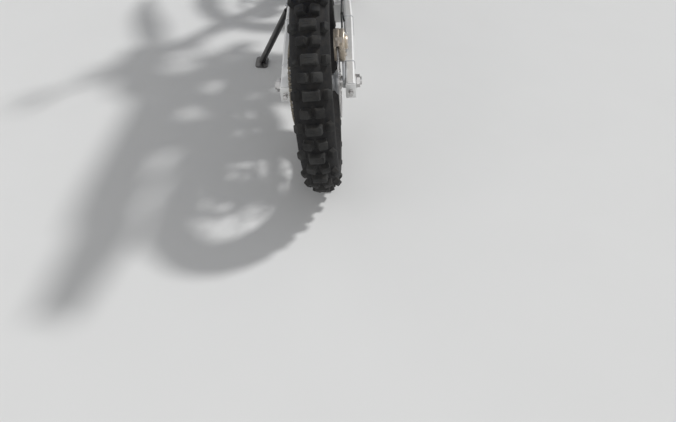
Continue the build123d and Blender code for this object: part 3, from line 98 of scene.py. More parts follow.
AXLE_REAR = Vector((0, 0, REAR_RADIUS))
AXLE_FRONT = Vector((0, WHEELBASE, FRONT_RADIUS))
STEER_FOOT = Vector((0, WHEELBASE + TRAIL, 0))
STEER_DIR = Vector((0, -math.sin(RAKE), math.cos(RAKE)))
AHEAD = Vector((0, math.cos(RAKE), math.sin(RAKE)))
AXLE_LEAD = (AXLE_FRONT - STEER_FOOT - AHEAD * FORK_OFFSET).dot(AHEAD)
LEG_BASE = AXLE_FRONT - AHEAD * AXLE_LEAD


def fork_point(x, ahead, up):
    """A point across, ahead of the fork legs' centreline, and up along it from the axle."""
    return LEG_BASE + RIGHT * x + AHEAD * ahead + STEER_DIR * up


def on_axis(z):
    """The point of the steering axis at a height."""
    return STEER_FOOT + STEER_DIR * (z / math.cos(RAKE))


def from_axle(x, y, up):
    """A point whose height is given from the rear axle."""
    return Vector((x, y, REAR_RADIUS + up))


CLAMP_LOW, CLAMP_TOP = ((on_axis(z) - LEG_BASE).dot(STEER_DIR) for z in (LOWER_CLAMP_Z, UPPER_CLAMP_Z))
BAR_UP = CLAMP_TOP + CLAMP_THICK + 34.0
OUTER_END, LEG_TOP = 372.0, CLAMP_TOP + 42.0


# Node helpers for the materials
def node(tree, kind, inputs=None, **settings):
    made = tree.nodes.new("ShaderNode" + kind)
    for key, value in settings.items():
        setattr(made, key, value)
    for key, value in (inputs or {}).items():
        if isinstance(value, bpy.types.NodeSocket):
            tree.links.new(value, made.inputs[key])
        else:
            made.inputs[key].default_value = value
    return made


def mix(tree, factor, first, second):
    pair = {6 + n: value if isinstance(value, bpy.types.NodeSocket) else (*value, 1.0)
            for n, value in enumerate((first, second))}
    return node(tree, "Mix", {0: factor, **pair}, data_type="RGBA").outputs[2]


def ranged(tree, value, low, high, to_low, to_high):
    return node(tree, "MapRange", {
        "Value": value, "From Min": low, "From Max": high, "To Min": to_low, "To Max": to_high,
    }).outputs["Result"]


def times(tree, first, second):
    return node(tree, "Math", {0: first, 1: second}, operation="MULTIPLY").outputs[0]


DUST = (0.30, 0.25, 0.19)


def surface(name, colour, rough, metal=0.0, grain=900.0, bump=0.2, mottle=0.1, speckle=0.07,
            stretch=(1.0, 1.0, 1.0), worn=None, wear=0.0, dust=0.0, coat=0.0, sheen=0.0,
            specular=0.5, pattern=None):
    """A procedural finish: mottled colour, grained bump and roughness, pale edges and dust. The pale edges
    are worn edges, and on the caliper partly a painted highlight.
    """
    material = bpy.data.materials.new(name)
    material.use_nodes = True
    tree = material.node_tree
    shader = tree.nodes["Principled BSDF"]
    shader.inputs["Metallic"].default_value = metal
    shader.inputs["Coat Weight"].default_value = coat
    shader.inputs["Sheen Weight"].default_value = sheen
    shader.inputs["Specular IOR Level"].default_value = specular
    place = node(tree, "TexCoord").outputs["Object"]
    grained = node(tree, "Mapping", {"Vector": place, "Scale": stretch}).outputs["Vector"]
    broad = node(tree, "TexNoise", {"Vector": place, "Scale": 16.0, "Detail": 6.0, "Roughness": 0.62})
    fine = node(tree, "TexNoise", {"Vector": grained, "Scale": grain, "Detail": 3.0, "Roughness": 0.55})
    broad, fine = broad.outputs["Fac"], fine.outputs["Fac"]
    spread = ranged(tree, broad, 0.3, 0.7, 0.0, 1.0)
    tone = mix(tree, spread, [c * (1 - mottle) for c in colour], [min(c * (1 + mottle), 1) for c in colour])
    roughness = ranged(tree, fine, 0.25, 0.75, max(rough - speckle, 0.03), min(rough + speckle, 1.0))
    # Convex edges take the worn colour in patches: edge wear, and on the caliper partly a painted highlight.
    if wear:
        edge = ranged(tree, node(tree, "NewGeometry").outputs["Pointiness"], 0.5, 0.58, 0.0, 1.0)
        patchy = times(tree, edge, ranged(tree, broad, 0.35, 0.65, 0.15, wear))
        tone = mix(tree, patchy, tone, worn)
    if dust:
        facing = node(tree, "SeparateXYZ", {"Vector": node(tree, "NewGeometry").outputs["Normal"]})
        settled = ranged(tree, facing.outputs["Z"], -0.2, 1.0, 0.25, 1.0)
        specks = node(tree, "TexNoise", {"Vector": place, "Scale": 60.0, "Detail": 8.0, "Roughness": 0.75})
        veil = times(tree, settled, ranged(tree, specks.outputs["Fac"], 0.42, 0.72, 0.0, dust))
        tone = mix(tree, veil, tone, DUST)
        roughness = ranged(tree, veil, 0.0, 1.0, rough, 0.95)
    tree.links.new(tone, shader.inputs["Base Color"])
    tree.links.new(roughness, shader.inputs["Roughness"])
    lift = node(tree, "Bump", {"Height": fine, "Strength": bump, "Distance": 0.0006}).outputs["Normal"]
    if pattern:
        lift = pattern(tree, place, lift)
    tree.links.new(lift, shader.inputs["Normal"])
    return material


def cells_bump(scale, strength, distance, invert=False):
    """A pattern of small cells, pressed in or raised."""
    def pattern(tree, place, normal):
        cells = node(tree, "TexVoronoi", {"Vector": place, "Scale": scale}).outputs["Distance"]
        return node(tree, "Bump", {"Height": cells, "Strength": strength, "Distance": distance,
                                   "Normal": normal}, invert=invert).outputs["Normal"]
    return pattern


GRIP_DIMPLES = cells_bump(420.0, 0.55, 0.0009, invert=True)
SAND_CAST = cells_bump(700.0, 0.28, 0.0005)
# Each finish: its colour, its roughness, and what sets it apart from a plain one
FINISHES = {
    "tyre_rubber": ((0.011, 0.011, 0.012), 0.70, dict(
        grain=1400, bump=0.35, mottle=0.3, worn=(0.07, 0.07, 0.068), wear=0.7, dust=0.09, specular=0.22)),
    "soft_rubber": ((0.016, 0.016, 0.016), 0.62, dict(grain=1800, bump=0.25, specular=0.3)),
    "black_rim": ((0.018, 0.018, 0.020), 0.33, dict(
        metal=0.35, grain=2500, bump=0.05, worn=(0.35, 0.35, 0.36), wear=0.5, dust=0.10, coat=0.2)),
    "spoke_steel": ((0.62, 0.62, 0.64), 0.28, dict(metal=1.0, grain=2500, bump=0.05)),
    "bare_aluminium": ((0.84, 0.84, 0.83), 0.38, dict(
        metal=0.55, grain=500, bump=0.06, mottle=0.05, stretch=(1.0, 0.08, 1.0), dust=0.06)),
    "cast_aluminium": ((0.50, 0.51, 0.52), 0.48, dict(metal=0.8, dust=0.10, pattern=SAND_CAST)),
    "dark_cover": ((0.075, 0.077, 0.082), 0.42, dict(
        metal=0.6, grain=1200, bump=0.15, worn=(0.4, 0.4, 0.4), wear=0.35, dust=0.08)),
    "frame_coat": ((0.66, 0.67, 0.68), 0.36, dict(
        metal=0.7, grain=700, bump=0.08, mottle=0.05, stretch=(1.0, 1.0, 0.2), dust=0.06)),
    "steel": ((0.55, 0.54, 0.53), 0.30, dict(metal=1.0, grain=1500, bump=0.08)),
    "chain_steel": ((0.30, 0.27, 0.22), 0.42, dict(metal=0.9, grain=2600, mottle=0.35, dust=0.15)),
    "black_steel": ((0.020, 0.020, 0.022), 0.36, dict(
        metal=0.2, grain=1500, bump=0.08, worn=(0.30, 0.29, 0.28), wear=0.6, dust=0.08)),
    "chrome": ((0.82, 0.82, 0.84), 0.09, dict(metal=1.0, grain=3000, bump=0.01, mottle=0.03, speckle=0.03)),
    # The caliper's near-white edges are partly real wear and partly a painted highlight along its edges.
    "bronze_caliper": ((0.44, 0.37, 0.28), 0.38, dict(
        metal=0.85, grain=1100, bump=0.12, worn=(0.75, 0.73, 0.70), wear=0.7, dust=0.06, pattern=SAND_CAST)),
    "body_plastic": ((0.035, 0.13, 0.46), 0.30, dict(
        grain=2200, bump=0.06, mottle=0.04, speckle=0.05, coat=0.15, dust=0.04)),
    "white_plastic": ((0.80, 0.80, 0.78), 0.33, dict(
        grain=2200, bump=0.06, mottle=0.03, speckle=0.05, coat=0.1, dust=0.05)),
    "black_plastic": ((0.022, 0.022, 0.024), 0.55, dict(
        grain=1500, bump=0.3, mottle=0.15, dust=0.07, specular=0.35)),
    "tank_plastic": ((0.035, 0.035, 0.038), 0.48, dict(grain=1600, bump=0.22, mottle=0.12, dust=0.05)),
    "seat_cover": ((0.028, 0.028, 0.030), 0.66, dict(
        grain=1400, bump=0.12, mottle=0.12, sheen=0.12, specular=0.3, pattern=GRIP_DIMPLES)),
    "spring_coat": ((0.72, 0.73, 0.70), 0.30, dict(grain=1800, bump=0.05, coat=0.3)),
    "hose_rubber": ((0.02, 0.02, 0.02), 0.45, dict(grain=2400, bump=0.15)),
    "exhaust_steel": ((0.5, 0.45, 0.4), 0.24, dict(metal=1.0, grain=1800, bump=0.04)),
}
LOOKS = {name: surface(name, colour, rough, **rest) for name, (colour, rough, rest) in FINISHES.items()}


def heat_tint(material):
    """Straw to blue tint along the exhaust, strongest near the engine."""
    tree = material.node_tree
    place = node(tree, "TexCoord").outputs["Object"]
    along = node(tree, "SeparateXYZ", {"Vector": place}).outputs["Y"]
    wobble = node(tree, "TexNoise", {"Vector": place, "Scale": 20.0}).outputs["Fac"]
    moved = node(tree, "Math", {0: wobble, 1: 0.12, 2: along}, operation="MULTIPLY_ADD").outputs[0]
    ramp = node(tree, "ValToRGB", {"Fac": ranged(tree, moved, -0.25, 0.32, 0.0, 1.0)})
    stops = [(0.0, (0.56, 0.53, 0.48)), (0.35, (0.58, 0.47, 0.30)), (0.62, (0.46, 0.30, 0.26)),
             (0.80, (0.22, 0.22, 0.38)), (1.0, (0.40, 0.38, 0.36))]
    for where, colour in stops[1:-1]:
        ramp.color_ramp.elements.new(where)
    for element, (where, colour) in zip(ramp.color_ramp.elements, stops):
        element.position = where
        element.color = (*colour, 1.0)
    tree.links.new(ramp.outputs["Color"], tree.nodes["Principled BSDF"].inputs["Base Color"])


heat_tint(LOOKS["exhaust_steel"])


# Lines and outlines
def angles(count, shift=0.0):
    """Angles evenly round a circle, shifted by a share of their spacing."""
    return [2 * math.pi * (n + shift) / count for n in range(count)]


def polar(radius, angle, cx=0.0, cy=0.0):
    return (cx + radius * math.cos(angle), cy + radius * math.sin(angle))


def circle(cx, cy, radius, count=16):
    return [polar(radius, a, cx, cy) for a in angles(count)]


def knurled(radius, depth, count, cy=0.0):
    """A circle with square ribs, four points to each."""
    return [polar(radius + (depth if n % 4 < 2 else 0), a, 0, cy) for n, a in enumerate(angles(count))]


def smooth_rows(rows, steps):
    """Rows of numbers with smooth rows between them."""
    ends = [tuple(2 * a - b for a, b in zip(rows[0], rows[1]))] + list(rows)
    ends += [tuple(2 * a - b for a, b in zip(rows[-1], rows[-2]))]
    out = []
    for a, b, c, d in zip(ends, ends[1:], ends[2:], ends[3:]):
        for t in (n / steps for n in range(steps)):
            out.append(tuple(
                0.5 * (2 * q + (r - p) * t + (2 * p - 5 * q + 4 * r - s) * t * t
                       + (3 * q - p - 3 * r + s) * t ** 3)
                for p, q, r, s in zip(a, b, c, d)))
    return out + [rows[-1]]


def smooth_path(points, steps=8):
    """A curve through points, steps spans between each two."""
    return [Vector(row) for row in smooth_rows([tuple(p) for p in points], steps)]


def rounded(points, radius, steps=3, closed=True):
    """A flat outline with its corners rounded."""
    flat = [Vector((p[0], p[1], 0)) for p in points]
    out = []
    for i, b in enumerate(flat):
        if not closed and i in (0, len(flat) - 1):
            out.append((b.x, b.y))
            continue
        back, on = flat[i - 1] - b, flat[(i + 1) % len(flat)] - b
        reach = min(radius, 0.45 * back.length, 0.45 * on.length)
        back.normalize()
        on.normalize()
        for t in (n / steps for n in range(steps + 1)):
            p = (b + back * reach) * (1 - t) ** 2 + b * 2 * t * (1 - t) + (b + on * reach) * t * t
            out.append((p.x, p.y))
    return out


def box_line(wide, high, radius, steps):
    """A rounded rectangle about the origin."""
    x, y = wide / 2, high / 2
    return rounded([(-x, -y), (x, -y), (x, y), (-x, y)], radius, steps)


def inside(point, loop):
    x, y = point
    hit = False
    for (x1, y1), (x2, y2) in zip(loop, loop[1:] + loop[:1]):
        if (y1 > y) != (y2 > y) and x < (x2 - x1) * (y - y1) / (y2 - y1) + x1:
            hit = not hit
    return hit


def resampled(loop, step):
    out = []
    for (x1, y1), (x2, y2) in zip(loop, loop[1:] + loop[:1]):
        count = max(1, round(math.hypot(x2 - x1, y2 - y1) / step))
        out += [(x1 + (x2 - x1) * n / count, y1 + (y2 - y1) * n / count) for n in range(count)]
    return out


def filled(outline, holes=(), step=None):
    """Triangles of a flat outline with holes, with inner points every step if it's given."""
    loops = [list(loop) for loop in (outline, *holes)]
    if step:
        loops = [resampled(loop, step) for loop in loops]

    def within(point):
        return inside(point, loops[0]) and not any(inside(point, hole) for hole in loops[1:])

    points, edges = [], []
    for loop in loops:
        first = len(points)
        points += loop
        edges += [(first + n, first + (n + 1) % len(loop)) for n in range(len(loop))]
    if step:
        rim = list(points)
        xs, ys = [p[0] for p in loops[0]], [p[1] for p in loops[0]]
        row, y = 0, min(ys) + step * 0.5
        while y < max(ys):
            x = min(xs) + step * (0.5 if row % 2 else 1.0)
            while x < max(xs):
                if within((x, y)) and min((x - a) ** 2 + (y - b) ** 2 for a, b in rim) > (0.55 * step) ** 2:
                    points.append((x, y))
                x += step
            y += step * 0.87
            row += 1
    verts, _, faces, *_ = delaunay_2d_cdt([Vector(p) for p in points], edges, [], 0, 1e-5)
    kept = [face for face in faces if within((sum(verts[i].x for i in face) / len(face),
                                              sum(verts[i].y for i in face) / len(face)))]
    return [tuple(v) for v in verts], kept


# Placings: an origin with a local z and, if it matters, a local x
def basis(direction):
    """Two unit vectors square to a direction and to each other."""
    direction = Vector(direction).normalized()
    side = direction.orthogonal().normalized()
    return side, direction.cross(side)


def at(point, z_dir=None, x_dir=None):
    origin = Matrix.Translation(Vector(point))
    if z_dir is None:
        return origin
    z = Vector(z_dir).normalized()
    if x_dir is None:
        x, y = basis(z)
    else:
        x = Vector(x_dir)
        x = (x - z * x.dot(z)).normalized()
        y = z.cross(x)
    return origin @ Matrix((x, y, z)).transposed().to_4x4()


def side_on(x):
    """The side view's plane: local x is Y, local y is Z, and thickness grows to the right."""
    return at((x, 0, 0), RIGHT, FORWARD)


def on_fork(point):
    """Square to the fork, local x across the bike."""
    return at(point, STEER_DIR, RIGHT)


def box_loop(place, wide, high, corner, steps):
    """A rounded rectangle in a placing's plane."""
    return [place @ Vector((x, y, 0)) for x, y in box_line(wide, high, corner, steps)]


def above(points):
    """Side-view points whose heights are given from the rear axle."""
    return [(y, REAR_RADIUS + up) for y, up in points]


def by_leg(points):
    """Side-view points from distances ahead of the fork leg and up it."""
    return [(p.y, p.z) for p in (fork_point(0, ahead, up) for ahead, up in points)]


# Mesh helpers: each adds to a bmesh in the upright bike's millimetres
def skin(bm, loops, ring=True, caps=True, joined=False):
    """Quads between successive loops of points; ring closes each loop, joined the whole row."""
    rows = [[bm.verts.new(p) for p in loop] for loop in loops]
    count = len(rows[0])
    spans = count if ring else count - 1
    for low, high in list(zip(rows, rows[1:])) + ([(rows[-1], rows[0])] if joined else []):
        for i in range(spans):
            j = (i + 1) % count
            bm.faces.new((low[i], low[j], high[j], high[i]))
    if caps and ring and not joined:
        bm.faces.new(list(reversed(rows[0])))
        bm.faces.new(rows[-1])


def hoop(centre, u, v, radius, count):
    """A circle about a centre, in the plane of two directions."""
    return [centre + (u * math.cos(a) + v * math.sin(a)) * radius for a in angles(count)]


def lathe(bm, profile, centre, axis, segments=32, closed=False):
    """A turned form: (distance along, radius) points about an axis through a centre."""
    centre, axis = Vector(centre), Vector(axis).normalized()
    loops = [hoop(centre + axis * along, *basis(axis), radius, segments) for along, radius in profile]
    skin(bm, loops, caps=not closed, joined=closed)


def rod(bm, start, end, radius, segments=20, chamfer=0.8):
    start, end = Vector(start), Vector(end)
    length = (end - start).length
    profile = [(0, radius - chamfer), (chamfer, radius), (length - chamfer, radius),
               (length, radius - chamfer)]
    lathe(bm, profile, start, end - start, segments)


def band(bm, centre, axis, bore, radius, half, along, into, segments=32, closed=True):
    """A collar half its length each way from a centre, its edges chamfered along and into it."""
    lathe(bm, [(-half, bore), (-half, radius - into), (along - half, radius), (half - along, radius),
               (half, radius - into), (half, bore)], centre, axis, segments, closed)


def sleeve(bm, centre, axis, bore, radius, half, segments=20, closed=True):
    """A plain collar half its length each way from a centre."""
    lathe(bm, [(-half, bore), (-half, radius), (half, radius), (half, bore)], centre, axis, segments, closed)


def pipe(bm, line, radius, segments=16, radii=None, closed=False):
    """A round tube along a line of points."""
    line = [Vector(p) for p in line]
    u, _ = basis(line[1] - line[0])
    loops = []
    for n, here in enumerate(line):
        before = line[n - 1] if n or closed else here
        after = line[(n + 1) % len(line)] if n < len(line) - 1 or closed else here
        run = (after - before).normalized()
        u = (u - run * u.dot(run)).normalized()
        loops.append(hoop(here, u, run.cross(u), radii[n] if radii else radius, segments))
    skin(bm, loops, caps=not closed, joined=closed)


def absorb(bm, part, place=None):
    """Moves a part built on its own into bm."""
    mesh = bpy.data.meshes.new("part")
    part.to_mesh(mesh)
    part.free()
    if place is not None:
        mesh.transform(place)
    bm.from_mesh(mesh)
    bpy.data.meshes.remove(mesh)


def both_sides(*meshes):
    """Adds the mirror image on the bike's other side."""
    for bm in meshes:
        mesh = bpy.data.meshes.new("half")
        bm.to_mesh(mesh)
        mesh.transform(Matrix.Scale(-1, 4, RIGHT))
        bm.from_mesh(mesh)
        bpy.data.meshes.remove(mesh)


def slab(bm, outline, holes, place, thick, bevel=0.0, segments=2):
    """A plate cut to an outline with holes, thick along the place's own z, with its rims bevelled."""
    flat, faces = filled(outline, holes)
    part = bmesh.new()
    verts = [part.verts.new((x, y, 0)) for x, y in flat]
    for face in faces:
        part.faces.new([verts[i] for i in face])
    bmesh.ops.delete(part, geom=[v for v in part.verts if not v.link_faces], context="VERTS")
    grown = bmesh.ops.extrude_face_region(part, geom=list(part.faces))["geom"]
    bmesh.ops.translate(part, vec=UP * thick, verts=[g for g in grown if isinstance(g, bmesh.types.BMVert)])
    bmesh.ops.recalc_face_normals(part, faces=list(part.faces))
    if bevel:
        rims = [e for e in part.edges if len(e.link_faces) == 2 and e.calc_face_angle(0) > 1.0
                and abs(e.verts[0].co.z - e.verts[1].co.z) < 1e-6]
        bmesh.ops.bevel(part, geom=rims, offset=bevel, segments=segments, profile=0.6, affect="EDGES")
    absorb(bm, part, place)


def block(bm, size, place, bevel=1.0, segments=2):
    """A box with rounded edges, its middle at the place's origin."""
    part = bmesh.new()
    bmesh.ops.create_cube(part, size=1.0, matrix=Matrix.Diagonal((*size, 1.0)))
    bmesh.ops.bevel(part, geom=list(part.edges), offset=bevel, segments=segments, profile=0.6, affect="EDGES")
    absorb(bm, part, place)


def bolt(bm, point, direction, size=10.0, height=5.0):
    """A hexagon bolt head on its washer face."""
    lathe(bm, [(0, size * 0.62), (1.2, size * 0.62), (1.2, size * 0.5)], point, direction, 24)
    direction = Vector(direction).normalized()
    lathe(bm, [(0, size * 0.54), (height - 0.8, size * 0.54), (height, size * 0.46)],
          Vector(point) + direction, direction, 6)


def cap_bolt(bm, point, direction, size=8.0, height=6.0):
    """A round head with a hexagon socket."""
    lathe(bm, [(0, size * 0.5), (height - 0.8, size * 0.5), (height, size * 0.42), (height, size * 0.26),
               (height * 0.4, size * 0.24), (height * 0.4, 0.02)], point, direction, 18)


def weld(bm, loop, radius):
    """A weld's row of overlapping ripples round a closed loop."""
    line = []
    for a, b in zip(loop, loop[1:] + loop[:1]):
        count = max(1, round((b - a).length / (radius * 1.1)))
        line += [a.lerp(b, n / count) for n in range(count)]
    radii = [radius * (0.72 + 0.42 * (n % 2)) for n in range(len(line))]
    pipe(bm, line, radius, 7, radii, closed=True)


def piece(name, bm, look, body="chassis", angle=38.0, subsurf=0, wall=0.0, rim=0.0, keep_normals=False):
    """Turns a bmesh into a finished piece that rides on a body and replaces a node of its name."""
    if not keep_normals:
        bmesh.ops.remove_doubles(bm, verts=list(bm.verts), dist=0.0005)
        bmesh.ops.recalc_face_normals(bm, faces=list(bm.faces))
    label = name + "_form" if name in frame["nodes"] else name
    mesh = bpy.data.meshes.new(label)
    bm.to_mesh(mesh)
    bm.free()
    mesh.transform(PLACES[body])
    mesh.shade_smooth()
    mesh.set_sharp_from_angle(angle=math.radians(angle))
    mesh.materials.append(LOOKS[look])
    made = bpy.data.objects.new(label, mesh)
    bpy.context.scene.collection.objects.link(made)
    if wall:
        thickness = made.modifiers.new("wall", "SOLIDIFY")
        thickness.thickness = wall * MM
        thickness.offset = -1.0
    if rim:
        edge = made.modifiers.new("rim", "BEVEL")
        edge.width = rim * MM
        edge.segments = 2
        edge.limit_method = "ANGLE"
        edge.angle_limit = math.radians(50)
    if subsurf:
        smooth = made.modifiers.new("smooth", "SUBSURF")
        smooth.levels = smooth.render_levels = subsurf
    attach(made, body)
    if name in frame["nodes"]:
        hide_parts(name)
    return made


# Wheels: each row of knobs has its share of a pitch, its tilt from the crown and its width
REAR_KNOBS = [(0.0, 0, 42), (0.0, 47, 17), (0.0, -47, 17), (0.5, 19, 25), (0.5, -19, 25)]
FRONT_KNOBS = [(0.0, 0, 26), (0.0, 52, 14), (0.0, -52, 14), (0.5, 24, 20), (0.5, -24, 20)]
REAR_BEAD, REAR_RIM_HALF, FRONT_BEAD, FRONT_RIM_HALF = 229.0, 27.5, 267.0, 20.5
LUG, KNOB_LENGTH = 15.0, 24.0
SPOKES = 18
SPOKE_SKEW = 52.0


def knob(bm, place, width, crown, worn, centre):
    """One tread block: wider at its foot, its top edge rounded by wear."""
    part = bmesh.new()
    low, high = crown - LUG - 4.0, crown + worn * 0.5
    rows = []
    for z, grow in ((low, 3.2), (crown - LUG + 2.5, 1.6), (high - 1.2, 0.0), (high, -1.4)):
        x, y = width / 2 + grow, KNOB_LENGTH / 2 + grow
        rows.append([(sx * px, sy * py, z) for sx, sy, px, py in (
            (1, 1, x, y - 3), (1, 1, x - 3, y), (-1, 1, x - 3, y), (-1, 1, x, y - 3),
            (-1, -1, x, y - 3), (-1, -1, x - 3, y), (1, -1, x - 3, y), (1, -1, x, y - 3))])
    skin(part, rows)
    if centre:
        for y in (-3.2, 3.2):
            block(part, (width * 0.55, 1.3, 1.6), at((0, y, high)), 0.5, 1)
    absorb(bm, part, place)


def tyre(name, body, axle, radius, crown, bead, rim_half, belly, knobs, pitches):
    """A carcass of revolution with bevelled knobs in rows round it."""
    base, inner = crown - LUG, crown - LUG - 9.0
    hub, middle = radius - crown, (radius + bead) / 2

    def on_crown(size, tilt):
        return (size * math.sin(math.radians(tilt)), hub + size * math.cos(math.radians(tilt)))

    half = [on_crown(base, 0), on_crown(base, 20), on_crown(base, 40), on_crown(base, 62),
            (belly + 1.5, middle - 4), (belly - 2, middle - 22),
            (rim_half + 9, bead + 20), (rim_half + 7, bead + 16), (rim_half + 1, bead + 13)]
    right = smooth_rows(half, 4) + [
        (rim_half - 2, bead + 12), (rim_half - 3, bead + 1), (rim_half - 9, bead + 1),
        (belly - 11, middle - 14), on_crown(inner, 50), on_crown(inner, 0)]
    left = [(-x, r) for x, r in reversed(right)]
    bm = bmesh.new()
    lathe(bm, right + left[1:-1], axle, RIGHT, pitches * 6, closed=True)
    for side in SIDES:
        for step in (0.0, 5.0, 10.0):
            where = middle - 24 + step
            lathe(bm, [(side * (belly - 3.4), where - 1.2), (side * (belly - 0.6 + step * 0.12), where),
                       (side * (belly - 3.0), where + 1.2)], axle, RIGHT, pitches * 6, closed=True)
    for share, tilt, width in knobs:
        for turn in angles(pitches, share):
            place = Matrix.Translation(axle) @ Matrix.Rotation(turn, 4, "X")
            place = place @ at((0, 0, hub)) @ Matrix.Rotation(math.radians(tilt), 4, "Y")
            knob(bm, place, width, crown, random.uniform(-0.6, 0.4), tilt == 0)
    piece(name, bm, "tyre_rubber", body, angle=32)


def laced(axle, flange_x, flange_r, rim_r):
    """Each spoke's side and inset, its foot on its flange and its head in the rim."""
    for side in SIDES:
        for n, rim_at in enumerate(angles(SPOKES, (side + 1) / 4)):
            sign = 1 if n % 2 else -1
            hub_at = rim_at + math.radians(sign * SPOKE_SKEW)
            foot_x, head_x = side * (flange_x + sign * 3.0), side * (4.5 + sign * 2.4)
            yield (side * sign,
                   axle + Vector((foot_x, flange_r * math.sin(hub_at), flange_r * math.cos(hub_at))),
                   axle + Vector((head_x, rim_r * math.sin(rim_at), rim_r * math.cos(rim_at))))


def wheel_metal(end, axle, bead, half, flange_x, flange_r):
    """A rim of drawn section with a seat for each nipple, and its spokes."""
    rim, wires = bmesh.new(), bmesh.new()
    section = [(half - 15, bead - 14), (half - 10, bead), (half, bead), (half + 1, bead + 12),
               (half + 5, bead + 12), (half + 5, bead - 4), (half - 12, bead - 21)]
    loop = rounded(section + [(-x, r) for x, r in reversed(section)], 2.2, 3)
    lathe(rim, loop, axle, RIGHT, 120, closed=True)
    for outward, foot, head in laced(axle, flange_x, flange_r, bead - 21):
        run = (head - foot).normalized()
        lathe(rim, [(0, 6.2), (2.0, 6.0), (4.5, 4.2)], head + run * 2.0, -run, 14)
        rod(wires, foot, head, 1.9, 10, 0.2)
        lathe(wires, [(0, 2.6), (1, 3.3), (7, 3.3), (8.5, 3.0), (15, 2.9), (16, 2.1)], head, -run, 6)
        rod(wires, foot - RIGHT * outward * 3.2, foot + RIGHT * outward * 1.2, 2.4, 10, 0.6)
    piece(f"{end}_rim", rim, "black_rim", f"{end}_wheel")
    piece(f"{end}_spokes", wires, "spoke_steel", f"{end}_wheel")


def brake_disc(end, axle, x, diameter, bolt_radius):
    """A wave-edged disc with drilled holes and six arms."""
    radius, ring = diameter / 2, 17.0
    wave = [polar(radius - 2.2 + 2.2 * math.cos(12 * a), a) for a in angles(192)]
    holes = [circle(0, 0, bolt_radius - 9, 48)]
    for middle in angles(6, 0.5):
        window = [polar(radius - ring, middle + math.pi / 60 * t) for t in range(-8, 9)]
        window += [polar(bolt_radius + 9, middle + math.pi / 60 * t) for t in range(6, -7, -1)]
        holes.append(rounded(window, 5.0, 2))
    for n, a in enumerate(angles(36, 0.5)):
        holes.append(circle(*polar(radius - 7.5 - (n % 3) * 2.6, a), 1.9, 10))
    bm = bmesh.new()
    slab(bm, wave, holes, Matrix.Translation(axle) @ side_on(x - 1.7), 3.4, 0.4, 1)
    sign = math.copysign(1, x)
    for a in angles(6):
        cap_bolt(bm, axle + Vector((x + sign * 1.7, *polar(bolt_radius, a))), RIGHT * sign, 10, 3.2)
    piece(f"{end}_disc", bm, "steel", f"{end}_wheel")


tyre("rear_tyre", "rear_wheel", AXLE_REAR, REAR_RADIUS, 69.0, REAR_BEAD, REAR_RIM_HALF, 53.0, REAR_KNOBS, 22)
tyre("front_tyre", "front_wheel", AXLE_FRONT, FRONT_RADIUS, 48.0, FRONT_BEAD, FRONT_RIM_HALF, 41.0,
     FRONT_KNOBS, 24)
wheel_metal("rear", AXLE_REAR, REAR_BEAD, REAR_RIM_HALF, 34.0, 44.2)
wheel_metal("front", AXLE_FRONT, FRONT_BEAD, FRONT_RIM_HALF, 27.0, 34.2)
brake_disc("rear", AXLE_REAR, REAR_DISC_X, 220.0, 34.0)
brake_disc("front", AXLE_FRONT, FRONT_DISC_X, 260.0, 30.0)

# Final drive
pitch_radius = CHAIN_PITCH / (2 * math.sin(math.pi / REAR_TEETH))
drive_radius = CHAIN_PITCH / (2 * math.sin(math.pi / FRONT_TEETH))
drive_way = Vector((COUNTERSHAFT[0], COUNTERSHAFT[1] - REAR_RADIUS))
slope = math.atan2(drive_way.y, drive_way.x)
wrap = math.acos((pitch_radius - drive_radius) / drive_way.length)
straight = math.sqrt(drive_way.length ** 2 - (pitch_radius - drive_radius) ** 2)
chain_total = 2 * straight + 2 * (math.pi - wrap) * pitch_radius + 2 * wrap * drive_radius


def on_chain(s):
    """A point of the chain's pitch line, s along it from the rear sprocket's top."""
    def rear(turn):
        return Vector((0, *polar(pitch_radius, slope + turn, 0.0, REAR_RADIUS)))

    def drive(turn):
        return Vector((0, *polar(drive_radius, slope + turn, *COUNTERSHAFT)))

    if s < straight:
        return rear(wrap).lerp(drive(wrap), s / straight)
    s -= straight
    if s < 2 * wrap * drive_radius:
        return drive(wrap - s / drive_radius)
    s -= 2 * wrap * drive_radius
    if s < straight:
        return drive(-wrap).lerp(rear(-wrap), s / straight)
    return rear(-wrap - (s - straight) / pitch_radius)


links = 2 * round(chain_total / (2 * CHAIN_PITCH))
pins = [on_chain(n * chain_total / links) for n in range(links)]
chain = bmesh.new()
for n in range(links):
    here, there = pins[n], pins[(n + 1) % links]
    length = (there - here).length
    half_turn = [math.pi / 2 * (k / 4 - 1) for k in range(9)]
    waist = [(length + 7.2 * math.cos(a), 7.2 * math.sin(a)) for a in half_turn]
    waist += [(length - x, -y) for x, y in waist]
    waist.insert(9, (length / 2, 5.6))
    waist.append((length / 2, -5.6))
    for side in SIDES:
        x = CHAIN_X + side * (6.9 if n % 2 else 4.9) - 0.9
        slab(chain, waist, [], at((x, 0, 0)) @ at(here, RIGHT, there - here), 1.8)
    rod(chain, here + RIGHT * (CHAIN_X - 9.2), here + RIGHT * (CHAIN_X + 9.2), 2.5, 10, 0.5)
    rod(chain, here + RIGHT * (CHAIN_X - 4.6), here + RIGHT * (CHAIN_X + 4.6), 5.0, 14, 0.3)
piece("chain", chain, "chain_steel")

